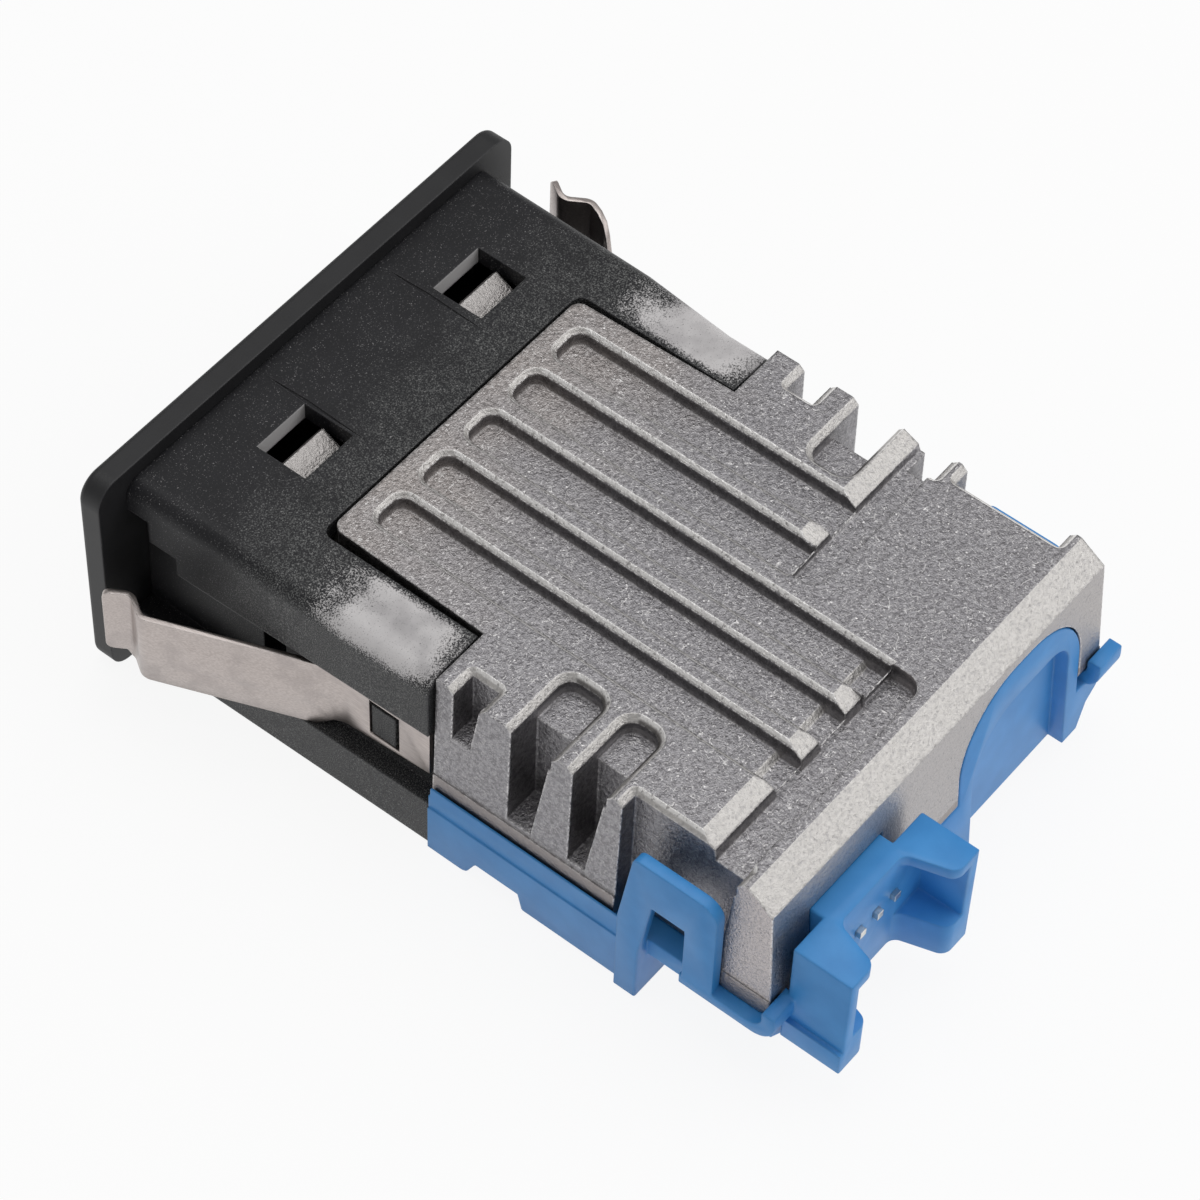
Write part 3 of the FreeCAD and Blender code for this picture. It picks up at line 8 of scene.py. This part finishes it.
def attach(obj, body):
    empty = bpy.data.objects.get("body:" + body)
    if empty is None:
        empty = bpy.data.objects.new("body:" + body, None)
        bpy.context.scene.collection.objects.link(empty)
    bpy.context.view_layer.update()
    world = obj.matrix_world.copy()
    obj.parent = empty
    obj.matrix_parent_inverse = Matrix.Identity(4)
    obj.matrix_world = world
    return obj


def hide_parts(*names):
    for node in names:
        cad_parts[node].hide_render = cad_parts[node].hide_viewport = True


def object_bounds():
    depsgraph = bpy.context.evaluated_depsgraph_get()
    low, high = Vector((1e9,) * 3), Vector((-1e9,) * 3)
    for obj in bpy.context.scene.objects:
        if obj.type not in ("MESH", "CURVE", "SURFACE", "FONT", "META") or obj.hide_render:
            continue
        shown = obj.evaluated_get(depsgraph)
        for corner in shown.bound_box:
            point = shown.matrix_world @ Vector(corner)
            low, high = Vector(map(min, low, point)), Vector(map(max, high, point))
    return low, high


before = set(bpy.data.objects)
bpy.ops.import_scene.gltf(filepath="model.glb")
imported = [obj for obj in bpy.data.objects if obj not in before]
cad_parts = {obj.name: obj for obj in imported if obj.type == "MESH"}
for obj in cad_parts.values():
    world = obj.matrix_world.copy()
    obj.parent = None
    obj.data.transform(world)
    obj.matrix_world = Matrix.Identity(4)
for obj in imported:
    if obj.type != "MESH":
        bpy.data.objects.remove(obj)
cad_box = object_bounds()
bpy.ops.object.select_all(action="DESELECT")

# The camera looks down on the grooves from behind the right-hand corner, with the socket
# face away from it. Its distance and lens keep the photograph's perspective.
LENS, SENSOR = 134.47, 36.0
AZIMUTH, ELEVATION, ROLL = math.radians(126.52), math.radians(52.62), math.radians(2.65)
AIM = Vector((0.0, 0.025, 0.00925))
STAND = Vector((0.001495, -0.007884, 0.3177))
NEAREST = 0.01
bpy.ops.object.camera_add()
camera = bpy.context.object
turn = Matrix.Rotation(AZIMUTH, 4, "Z") @ Matrix.Rotation(math.pi / 2 - ELEVATION, 4, "X")
tilt = Matrix.Rotation(ROLL, 4, "Z")
camera.matrix_world = Matrix.Translation(AIM) @ turn @ tilt @ Matrix.Translation(STAND)
camera.data.lens = LENS
camera.data.sensor_width = SENSOR
camera.data.clip_start = NEAREST
scene = bpy.context.scene
scene.camera = camera

# The light of a small studio: one soft box beyond the rear left corner, one overhead, and an
# even pale surround. The floor is a plain white sheet.
SURROUND_LEVEL = 0.40
MIDDLE = (0, 0.03, 0)
FLOOR_SIZE, FLOOR_GAP = 4.0, 0.00002
WHITE_SHARE = 0.90
scene.view_settings.view_transform = "Standard"
surround = bpy.data.worlds.new("surround")
scene.world = surround
surround.use_nodes = True
surround.node_tree.nodes["Background"].inputs["Color"].default_value = (1.0, 1.0, 1.0, 1.0)
surround.node_tree.nodes["Background"].inputs["Strength"].default_value = SURROUND_LEVEL


def soft_box(name, place, width, height, power):
    """A rectangular lamp at a place, turned to face the middle of the part."""
    bpy.ops.object.light_add(type="AREA", location=place)
    lamp = bpy.context.object
    lamp.name = name
    lamp.data.shape = "RECTANGLE"
    lamp.data.size = width
    lamp.data.size_y = height
    lamp.data.energy = power
    lamp.rotation_euler = (Vector(MIDDLE) - Vector(place)).to_track_quat("-Z", "Y").to_euler()


soft_box("rear_soft_box", (-0.27, 0.38, 0.34), width=0.50, height=0.44, power=0.85)
soft_box("top_soft_box", (-0.07, -0.05, 0.55), width=0.42, height=0.42, power=1.0)

bpy.ops.mesh.primitive_plane_add(size=FLOOR_SIZE, location=(0, 0, cad_box[0][2] - FLOOR_GAP))
floor = bpy.context.object
floor.name = "floor"
sheet = bpy.data.materials.new("white_sheet")
sheet.use_nodes = True
nodes, links = sheet.node_tree.nodes, sheet.node_tree.links
paper = nodes["Principled BSDF"]
paper.inputs["Base Color"].default_value = (0.93, 0.93, 0.93, 1.0)
paper.inputs["Roughness"].default_value = 0.7
glow = nodes.new("ShaderNodeEmission")
seen = nodes.new("ShaderNodeLightPath")
mirrored = nodes.new("ShaderNodeMath")
mirrored.operation = "MAXIMUM"
share = nodes.new("ShaderNodeMath")
share.operation = "MULTIPLY"
share.inputs[1].default_value = WHITE_SHARE
white = nodes.new("ShaderNodeMixShader")
links.new(seen.outputs["Is Camera Ray"], mirrored.inputs[0])
links.new(seen.outputs["Is Glossy Ray"], mirrored.inputs[1])
links.new(mirrored.outputs["Value"], share.inputs[0])
links.new(share.outputs["Value"], white.inputs["Fac"])
links.new(paper.outputs["BSDF"], white.inputs[1])
links.new(glow.outputs["Emission"], white.inputs[2])
links.new(white.outputs["Shader"], nodes["Material Output"].inputs["Surface"])
floor.data.materials.append(sheet)

# Front bezel: a black moulding of glass-filled nylon that covers the edge of the panel's
# hole. Its skin has a fine matt grain from the mould, and its edges get a painted highlight a shade
# lighter.
MM = 0.001
RAY_SAMPLES = 6


def tone(red, green, blue):
    """A colour given as it looks on a screen, from 0 to 255, as the shader takes it."""
    levels = [level / 255 for level in (red, green, blue)]
    return tuple(level / 12.92 if level <= 0.04045 else ((level + 0.055) / 1.055) ** 2.4
                 for level in levels) + (1.0,)


def new_finish(name, metallic, roughness):
    """A finish whose patterns are laid out in millimetres on the part."""
    finish = bpy.data.materials.new(name)
    finish.use_nodes = True
    tree = finish.node_tree
    shader = tree.nodes["Principled BSDF"]
    shader.inputs["Metallic"].default_value = metallic
    shader.inputs["Roughness"].default_value = roughness
    coordinates = tree.nodes.new("ShaderNodeTexCoord")
    in_mm = tree.nodes.new("ShaderNodeMapping")
    in_mm.inputs["Scale"].default_value = (1 / MM, 1 / MM, 1 / MM)
    tree.links.new(coordinates.outputs["Object"], in_mm.inputs["Vector"])
    return finish, tree, shader, in_mm.outputs["Vector"]


def grain(tree, place, size, detail=2.0, stretch=(1.0, 1.0, 1.0)):
    """Random grain of about one size, in millimetres, finer along an axis that is stretched."""
    lay = tree.nodes.new("ShaderNodeMapping")
    lay.inputs["Scale"].default_value = stretch
    noise = tree.nodes.new("ShaderNodeTexNoise")
    noise.inputs["Scale"].default_value = 1.0 / size
    noise.inputs["Detail"].default_value = detail
    tree.links.new(place, lay.inputs["Vector"])
    tree.links.new(lay.outputs["Vector"], noise.inputs["Vector"])
    return noise.outputs["Fac"]


def between(tree, value, low, high):
    """A smooth change from nothing at low to everything at high, whichever is the larger."""
    change = tree.nodes.new("ShaderNodeMapRange")
    change.interpolation_type = "SMOOTHSTEP"
    change.inputs["From Min"].default_value = low
    change.inputs["From Max"].default_value = high
    tree.links.new(value, change.inputs["Value"])
    return change.outputs["Result"]


def combined(tree, operation, first, second=0.0):
    """One amount made of two by a sum, a product or the like."""
    node = tree.nodes.new("ShaderNodeMath")
    node.operation = operation
    for socket, value in zip(node.inputs, (first, second)):
        if isinstance(value, (int, float)):
            socket.default_value = value
        else:
            tree.links.new(value, socket)
    return node.outputs["Value"]


def times(tree, first, *others):
    """Amounts multiplied together."""
    for other in others:
        first = combined(tree, "MULTIPLY", first, other)
    return first


def plus(tree, first, second):
    """Two amounts added up."""
    return combined(tree, "ADD", first, second)


def coat(tree, amount, under, over):
    """One colour laid over another by an amount."""
    layer = tree.nodes.new("ShaderNodeMix")
    layer.data_type = "RGBA"
    tree.links.new(amount, layer.inputs["Factor"])
    for socket, colour in ((layer.inputs[6], under), (layer.inputs[7], over)):
        if isinstance(colour, tuple):
            socket.default_value = colour
        else:
            tree.links.new(colour, socket)
    return layer.outputs[2]


def rounded_normal(tree, reach):
    """The surface's direction, as it is with every edge rounded by a reach in millimetres."""
    rounded = tree.nodes.new("ShaderNodeBevel")
    rounded.samples = RAY_SAMPLES
    rounded.inputs["Radius"].default_value = reach * MM
    return rounded.outputs["Normal"]


def outer_edge(tree, reach):
    """How near a point lies to an outer edge, within a reach in millimetres."""
    geometry = tree.nodes.new("ShaderNodeNewGeometry")
    match = tree.nodes.new("ShaderNodeVectorMath")
    match.operation = "DOT_PRODUCT"
    tree.links.new(rounded_normal(tree, reach), match.inputs[0])
    tree.links.new(geometry.outputs["Normal"], match.inputs[1])
    at_an_edge = between(tree, match.outputs["Value"], 0.985, 0.80)
    open_sky = tree.nodes.new("ShaderNodeAmbientOcclusion")
    open_sky.samples = RAY_SAMPLES
    open_sky.inputs["Distance"].default_value = 0.8 * MM
    not_in_a_corner = between(tree, open_sky.outputs["AO"], 0.55, 0.85)
    return times(tree, at_an_edge, not_in_a_corner)


def relief(tree, shader, height, depth, edge_round):
    """Small relief, in millimetres, on a surface whose edges look slightly rounded."""
    bump = tree.nodes.new("ShaderNodeBump")
    bump.inputs["Distance"].default_value = depth * MM
    bump.inputs["Strength"].default_value = 1.0
    tree.links.new(height, bump.inputs["Height"])
    tree.links.new(rounded_normal(tree, edge_round), bump.inputs["Normal"])
    tree.links.new(bump.outputs["Normal"], shader.inputs["Normal"])


def dress(finish, *names):
    """Give a finish to all slots of some CAD nodes."""
    for name in names:
        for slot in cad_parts[name].material_slots:
            slot.material = finish


nylon, tree, shader, place = new_finish("matt_black_nylon", metallic=0.0, roughness=0.5)
cloud = between(tree, grain(tree, place, 3.0), 0.35, 0.7)
skin = coat(tree, cloud, tone(24, 24, 26), tone(29, 29, 31))
# Painted highlight: the outer edges a shade lighter.
skin = coat(tree, times(tree, outer_edge(tree, 0.25), 0.4), skin, tone(80, 79, 82))
tree.links.new(skin, shader.inputs["Base Color"])
relief(tree, shader, grain(tree, place, 0.12), depth=0.012, edge_round=0.2)
dress(nylon, "front_bezel")


# Sleeve: a die casting with satin black paint outside. The paint was sprayed from the front,
# so it thins out over the rear arms, where the bare metal shows through a fine speckle.
def axes_of(tree, vector):
    """The three parts of a place or a direction."""
    split = tree.nodes.new("ShaderNodeSeparateXYZ")
    tree.links.new(vector, split.inputs["Vector"])
    return split.outputs["X"], split.outputs["Y"], split.outputs["Z"]


def facing(tree):
    """How far a surface faces to the right, to the rear and to the top, each up to 1."""
    return axes_of(tree, tree.nodes.new("ShaderNodeTexCoord").outputs["Normal"])


# Places in millimetres: the first number of a pair is where a mark has faded to nothing,
# the second where it is at its full strength.
SPECKLE_BEGINS = (9.0, 19.0)
PATCH_BEGINS, PATCH_ENDS = (19.5, 25.5), (32.0, 28.5)
ON_THE_ARMS = (205.0, 240.0)      # the square of the distance from the middle
ON_THE_TOP = (7.0, 8.6)
WINDOW_HEIGHT, WINDOW_PLACE = (6.9, 7.3), (6.5, 5.5)
SQUARE_ON = (0.6, 0.9)
paint, tree, shader, place = new_finish("sprayed_black_paint", metallic=0.0, roughness=0.45)
across, along, up = axes_of(tree, place)
_, to_rear, _ = facing(tree)
specks = grain(tree, place, 0.10)
fog = grain(tree, place, 4.5, detail=3.0)
drift = grain(tree, place, 1.1, detail=3.0)
black = coat(tree, between(tree, fog, 0.3, 0.75), tone(25, 25, 28), tone(32, 32, 35))
# Fine grey speckle that grows toward the rear.
rear_ward = between(tree, plus(tree, along, times(tree, fog, 9.0)), *SPECKLE_BEGINS)
grey_speckle = times(tree, between(tree, specks, 0.46, 0.60), rear_ward, 0.8)
grey_speckle = times(tree, grey_speckle, between(tree, drift, 0.12, 0.5))
black = coat(tree, grey_speckle, black, tone(98, 99, 98))
begun = between(tree, plus(tree, along, times(tree, fog, 8.0)), *PATCH_BEGINS)
unended = between(tree, plus(tree, along, times(tree, fog, 6.0)), *PATCH_ENDS)
on_arms = between(tree, times(tree, across, across), *ON_THE_ARMS)
patch = times(tree, begun, unended, on_arms, between(tree, up, *ON_THE_TOP))
bare_specks = between(tree, plus(tree, specks, times(tree, patch, 0.50)), 0.60, 0.92)
thin_paint = coat(tree, between(tree, fog, 0.35, 0.6), tone(178, 175, 176), tone(214, 211, 211))
black = coat(tree, times(tree, bare_specks, 0.92), black, thin_paint)
window_wall = times(tree, between(tree, to_rear, *SQUARE_ON), between(tree, up, *WINDOW_HEIGHT))
window_wall = times(tree, window_wall, between(tree, along, *WINDOW_PLACE))
black = coat(tree, window_wall, black, tone(196, 194, 194))
# Painted highlight: the outer edges lighter.
black = coat(tree, times(tree, outer_edge(tree, 0.2), 0.45), black, tone(96, 95, 98))
tree.links.new(black, shader.inputs["Base Color"])
shader.inputs["Specular IOR Level"].default_value = 0.3
relief(tree, shader, grain(tree, place, 0.14), depth=0.014, edge_round=0.25)
dress(paint, "housing")

# Heat sink: a zinc die casting, left bare. Tumbling has left its flats full of fine short
# scratches; its edges get grainy painted highlights and its hollows painted shade.
GROOVE_FOOT, GROOVE_TOP = (7.3, 7.7), (9.2, 8.7)
GROOVE_FIELD = (290.0, 262.0)     # the square of the distance from the middle
SHADE_BEGINS, LIT_FOOT_ENDS = (8.0, 8.5), (8.5, 7.8)
RIM_SHADE_HEIGHT, LIT_RIM_HEIGHT = (9.02, 8.88), (8.96, 9.08)
REAR_WALL_PLACE, REAR_POST_PLACE = (54.0, 55.0), (51.0, 53.0)
HOOK_PLACE, BAND_HEIGHT = (9.0, 8.0), (-1.5, -1.6)
COOL_BEGINS = (16.0, 42.0)
UPRIGHT, FLAT, NOT_FLAT = (0.55, 0.25), (0.93, 0.99), (0.98, 0.93)
LEANING, NOT_TO_REAR = (0.45, 0.65), (0.32, 0.18)
SCRATCHES = ((0.42, 0.85), (0.75, 0.75), (1.5, 0.6))      # length in millimetres, and share
zinc, tree, shader, place = new_finish("tumbled_zinc_casting", metallic=1.0, roughness=0.42)
across, along, up = axes_of(tree, place)
to_right, to_rear, to_top = facing(tree)
mottle = grain(tree, place, 0.4, detail=4.0)
cloud = grain(tree, place, 6.0)
sand = grain(tree, place, 0.13, detail=3.0)
coarse = grain(tree, place, 0.28)

# Its skin: mottled, warm at the front and cooler behind, with bright and dark grains of sand
# and short bright scratches on what lies flat.
patchy = between(tree, mottle, 0.36, 0.64)
cool = coat(tree, patchy, tone(131, 129, 132), tone(164, 162, 165))
warm = coat(tree, patchy, tone(150, 143, 139), tone(180, 173, 169))
rear_ward = between(tree, plus(tree, along, times(tree, cloud, 22.0)), *COOL_BEGINS)
metal = coat(tree, rear_ward, warm, cool)
bright_sand = times(tree, between(tree, sand, 0.54, 0.70), 0.55)
metal = coat(tree, bright_sand, metal, tone(212, 209, 208))
dark_sand = times(tree, between(tree, sand, 0.44, 0.30), 0.45)
metal = coat(tree, dark_sand, metal, tone(84, 83, 85))
lying_flat = between(tree, to_top, *FLAT)
for length, strength in SCRATCHES:
    line = grain(tree, place, length, detail=1.0)
    off_the_line = combined(tree, "ABSOLUTE", plus(tree, line, -0.5))
    line_width = 0.008 / length + 0.004
    thin = between(tree, off_the_line, line_width, 0.002)
    short = between(tree, grain(tree, place, length * 0.55, detail=0.0), 0.56, 0.64)
    scratch = times(tree, thin, short, lying_flat, strength)
    metal = coat(tree, scratch, metal, tone(238, 236, 235))

# Its walls: the rear wall and the posts' sides get a sandy, pale painted light. A groove's side
# gets painted shade under its edge and a painted pool of light at its foot.
in_field = between(tree, times(tree, across, across), *GROOVE_FIELD)
hollow = times(tree, between(tree, to_top, *UPRIGHT), between(tree, up, *GROOVE_FOOT),
               between(tree, up, *GROOVE_TOP), in_field)
# Painted light on the rear wall and the posts' right-hand sides, broken up by the sand grain.
lit_rear_wall = times(tree, between(tree, to_rear, *SQUARE_ON), between(tree, along, *REAR_WALL_PLACE))
lit_rear_wall = times(tree, lit_rear_wall, between(tree, sand, 0.1, 0.6))
metal = coat(tree, lit_rear_wall, metal, tone(188, 184, 183))
lit_rear_post = times(tree, between(tree, to_right, *SQUARE_ON), between(tree, along, *REAR_POST_PLACE))
lit_rear_post = times(tree, lit_rear_post, between(tree, sand, 0.1, 0.7))
metal = coat(tree, lit_rear_post, metal, tone(204, 197, 196))
# Painted shade under a groove's edge, then a painted pool of light at its foot.
shade = times(tree, hollow, between(tree, up, *SHADE_BEGINS), 0.6)
metal = coat(tree, shade, metal, tone(92, 90, 91))
lit_foot = times(tree, between(tree, up, *LIT_FOOT_ENDS), between(tree, coarse, 0.2, 0.7))
metal = coat(tree, times(tree, hollow, lit_foot, 0.8), metal, tone(180, 177, 176))

# Its edges: all that slants gets a pale painted highlight, and the bevel round a groove gets
# painted shade below and a painted highlight above. The hooks and the smooth band at the foot are
# even, and outer edges get painted glints.
slanting = times(tree, between(tree, to_top, *NOT_FLAT), between(tree, to_top, *LEANING))
# Painted highlight: slanting faces pale.
slant_highlight = times(tree, slanting, between(tree, coarse, -0.05, 0.6))
metal = coat(tree, slant_highlight, metal, tone(206, 203, 200))
# Painted shade on the lower part of a groove's bevel and a painted highlight on its upper part.
rim = times(tree, slanting, between(tree, to_rear, *NOT_TO_REAR))
rim_shade = times(tree, rim, in_field, between(tree, up, *RIM_SHADE_HEIGHT), 0.8)
metal = coat(tree, rim_shade, metal, tone(92, 89, 88))
lit_rim = times(tree, rim, between(tree, up, *LIT_RIM_HEIGHT), between(tree, coarse, 0.30, 0.44))
metal = coat(tree, lit_rim, metal, tone(252, 250, 248))
hooks = times(tree, between(tree, along, *HOOK_PLACE), 0.85)
metal = coat(tree, hooks, metal, tone(172, 168, 166))
band = times(tree, between(tree, up, *BAND_HEIGHT), 0.8)
metal = coat(tree, band, metal, tone(156, 148, 145))
# Painted glint on the outer edges.
edge_glint = times(tree, outer_edge(tree, 0.3), between(tree, coarse, 0.42, 0.56), 0.9)
metal = coat(tree, edge_glint, metal, tone(246, 244, 243))
tree.links.new(metal, shader.inputs["Base Color"])
dullness = times(tree, between(tree, mottle, 0.2, 0.8), 0.12)
tree.links.new(plus(tree, dullness, 0.38), shader.inputs["Roughness"])
relief(tree, shader, plus(tree, sand, times(tree, coarse, 1.5)), depth=0.045, edge_round=0.3)
dress(zinc, "heat_sink")

# Blue base: moulded in PBT. It carries the board from below and ends in the shroud of the
# rear plug. The mould has left a satin skin, and its edges get thin painted highlights.
SAME_POINT, SAME_WEIGHT = 0.000002, 0.000001
FLAT_TURN, SHARP_TURN, SMOOTH_TURN = math.radians(0.6), math.radians(32), math.radians(38)
ROOM_FOR_A_ROUND = 2.4


def joined_copy(node, name):
    """A copy of a CAD node, with its loose triangles joined into whole flat faces."""
    piece = bpy.data.objects.new(name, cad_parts[node].data.copy())
    scene.collection.objects.link(piece)
    bpy.ops.object.select_all(action="DESELECT")
    piece.select_set(True)
    bpy.context.view_layer.objects.active = piece
    bpy.ops.mesh.customdata_custom_splitnormals_clear()
    bpy.ops.object.mode_set(mode="EDIT")
    bpy.ops.mesh.select_all(action="SELECT")
    bpy.ops.mesh.remove_doubles(threshold=SAME_POINT)
    bpy.ops.mesh.dissolve_limited(angle_limit=FLAT_TURN)
    bpy.ops.object.mode_set(mode="OBJECT")
    return piece


def mark_sharp_edges(mesh, edge_round):
    """Weigh every sharp edge for its bevel: 1 is the full round, and less where it is tight."""
    shape = bmesh.new()
    shape.from_mesh(mesh)
    weight = shape.edges.layers.float.new("bevel_weight_edge")
    for edge in shape.edges:
        if len(edge.link_faces) != 2 or edge.calc_face_angle() < SHARP_TURN:
            continue
        start = edge.verts[0].co
        run = (edge.verts[1].co - start).normalized()
        widths = [max((corner.co - start - run * run.dot(corner.co - start)).length
                      for corner in face.verts) for face in edge.link_faces]
        beside = [other.calc_length() for end in edge.verts
                  for other in end.link_edges if other is not edge]
        edge[weight] = min(1.0, min(widths + beside) / (ROOM_FOR_A_ROUND * edge_round))
    # A rim that runs on through a corner keeps one weight, or its bevel would leave a slit.
    uneven = True
    while uneven:
        uneven = False
        for corner in shape.verts:
            rim = [edge for edge in corner.link_edges if edge[weight] > 0.0]
            if len(rim) == 2 and abs(rim[0][weight] - rim[1][weight]) > SAME_WEIGHT:
                rim[0][weight] = rim[1][weight] = min(rim[0][weight], rim[1][weight])
                uneven = True
    shape.to_mesh(mesh)
    shape.free()


def softened(node, name, finish, edge_round):
    """A copy of a CAD node whose sharp edges get the small round that the real piece has."""
    piece = joined_copy(node, name)
    mark_sharp_edges(piece.data, edge_round)
    bevel = piece.modifiers.new("edge_round", "BEVEL")
    bevel.limit_method = "WEIGHT"
    bevel.width = edge_round
    bevel.segments = 2
    bevel.use_clamp_overlap = False
    bpy.ops.object.modifier_apply(modifier=bevel.name)
    bpy.ops.object.shade_smooth_by_angle(angle=SMOOTH_TURN)
    piece.data.materials.clear()
    piece.data.materials.append(finish)
    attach(piece, "root")
    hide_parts(node)
    return piece


TRAY_ROUND = 0.2 * MM
blue, tree, shader, place = new_finish("blue_moulding_skin", metallic=0.0, roughness=0.42)
cloud = between(tree, grain(tree, place, 2.6, detail=3.0), 0.3, 0.75)
skin = coat(tree, cloud, tone(56, 140, 210), tone(66, 150, 220))
# Painted highlight: thin lighter lines along the outer edges.
skin = coat(tree, times(tree, outer_edge(tree, 0.16), 0.55), skin, tone(116, 170, 220))
tree.links.new(skin, shader.inputs["Base Color"])
relief(tree, shader, grain(tree, place, 0.2), depth=0.006, edge_round=0.2)
softened("connector_base", "blue_tray", blue, TRAY_ROUND)

# Spring clips: bent from stainless strip. The rolled faces are satin with a faint grain
# along the strip, and the edges get a bright painted highlight.
STRIP_ROUND = 0.08 * MM
strip, tree, shader, place = new_finish("rolled_stainless", metallic=1.0, roughness=0.36)
rolling = grain(tree, place, 0.5, detail=3.0, stretch=(6.0, 0.6, 6.0))
smear = between(tree, grain(tree, place, 2.2), 0.45, 0.7)
steel = coat(tree, between(tree, rolling, 0.3, 0.7), tone(176, 167, 163), tone(196, 187, 183))
steel = coat(tree, times(tree, smear, 0.4), steel, tone(160, 152, 150))
# Painted highlight on the outer edges.
steel = coat(tree, times(tree, outer_edge(tree, 0.12), 0.8), steel, tone(244, 240, 236))
tree.links.new(steel, shader.inputs["Base Color"])
relief(tree, shader, rolling, depth=0.003, edge_round=0.08)
softened("spring_clip_right", "right_spring_strip", strip, STRIP_ROUND)
left_clip = softened("spring_clip_left", "left_spring_strip", strip, STRIP_ROUND)

# The left clip isn't pressed down as far as the right one: its head stands higher beside the
# sleeve and a little further back, and its foot stays in the channel. Cuts across the strip
# let its long flat sides follow the bend.
RISE, SHIFT = 0.0041, 0.0019
BEND_START, BEND_LENGTH, BEND_STEPS = 0.0118, 0.0058, 6
bpy.ops.object.mode_set(mode="EDIT")
for step in range(BEND_STEPS + 1):
    cut = BEND_START - BEND_LENGTH * step / BEND_STEPS
    bpy.ops.mesh.select_all(action="SELECT")
    bpy.ops.mesh.bisect(plane_co=(0.0, cut, 0.0), plane_no=(0.0, 1.0, 0.0))
bpy.ops.object.mode_set(mode="OBJECT")
for corner in left_clip.data.vertices:
    bent = min(1.0, max(0.0, (BEND_START - corner.co.y) / BEND_LENGTH))
    bent = bent * bent * (3.0 - 2.0 * bent)
    corner.co.z += RISE * bent
    corner.co.y += SHIFT * bent


# Sockets: folded shells of nickel-plated steel, with a black insulator whose tongue holds
# four gold-plated strips.
def hazy(tree, shader, haze, darker, lighter):
    """A finish of two close tones that change slowly over the surface."""
    colour = coat(tree, between(tree, haze, 0.3, 0.7), tone(*darker), tone(*lighter))
    tree.links.new(colour, shader.inputs["Base Color"])


shell_plate, tree, shader, place = new_finish("nickel_plate", metallic=1.0, roughness=0.28)
haze = grain(tree, place, 0.9, detail=3.0)
hazy(tree, shader, haze, (205, 203, 200), (222, 221, 218))
relief(tree, shader, haze, depth=0.004, edge_round=0.08)
dress(shell_plate, "usb_shell_left", "usb_shell_right")

tongue_skin, tree, shader, place = new_finish("insulator_skin", metallic=0.0, roughness=0.4)
haze = grain(tree, place, 0.6)
hazy(tree, shader, haze, (30, 30, 32), (38, 38, 41))
relief(tree, shader, haze, depth=0.004, edge_round=0.1)
dress(tongue_skin, "usb_tongue_left", "usb_tongue_right")

gold, tree, shader, place = new_finish("gold_plate", metallic=1.0, roughness=0.25)
hazy(tree, shader, grain(tree, place, 0.5), (226, 186, 108), (238, 204, 132))
dress(gold, "usb_contacts_left", "usb_contacts_right")

# Rear plug pins: square brass wire with a thin coat of tin. Each comes up from the board,
# turns and runs back into the shroud.
tin, tree, shader, place = new_finish("tinned_wire", metallic=1.0, roughness=0.3)
haze = grain(tree, place, 0.4)
hazy(tree, shader, haze, (206, 204, 198), (226, 225, 220))
relief(tree, shader, haze, depth=0.004, edge_round=0.08)
dress(tin, "header_pins")

# Circuit board: glass laminate under a green solder mask, a little uneven over the weave.
# It lies on the ledges of the sleeve and the base, under the heat sink.
mask, tree, shader, place = new_finish("solder_mask", metallic=0.0, roughness=0.32)
weave = grain(tree, place, 0.5, stretch=(1.0, 3.0, 1.0))
hazy(tree, shader, weave, (24, 92, 52), (34, 108, 62))
relief(tree, shader, weave, depth=0.004, edge_round=0.1)
dress(mask, "main_board")

# Parts on the board: chips in moulded packages under soft grey pads, pressed ferrite
# inductors, drawn capacitor cans, ceramic blocks, and the lamp with its light guide.
# Each row gives how metallic and how rough the finish is, its two tones and the grain's size.
PARTS = {
    "chip_package": (0.0, 0.5, (36, 36, 38), (46, 46, 48), 0.15,
                     ("power_chip", "controller_chip")),
    "silicone_pad": (0.0, 0.7, (150, 160, 170), (166, 176, 186), 0.4,
                     ("power_chip_pad", "controller_chip_pad")),
    "pressed_ferrite": (0.0, 0.6, (66, 66, 70), (84, 84, 88), 0.2,
                        ("inductor_left", "inductor_right")),
    "drawn_can": (1.0, 0.3, (208, 208, 210), (224, 224, 226), 1.2, ("round_capacitors",)),
    "fired_ceramic": (0.0, 0.4, (170, 142, 108), (188, 160, 124), 0.3, ("ceramic_capacitors",)),
    "light_pipe": (0.0, 0.12, (222, 226, 228), (234, 238, 240), 0.8, ("light_guide",)),
    "lamp_package": (0.0, 0.35, (232, 228, 206), (242, 238, 218), 0.5, ("indicator_lamp",)),
}
for name, (metallic, roughness, darker, lighter, size, dressed) in PARTS.items():
    body, tree, shader, place = new_finish(name, metallic, roughness)
    haze = grain(tree, place, size, detail=3.0)
    hazy(tree, shader, haze, darker, lighter)
    relief(tree, shader, haze, depth=0.006, edge_round=0.12)
    dress(body, *dressed)
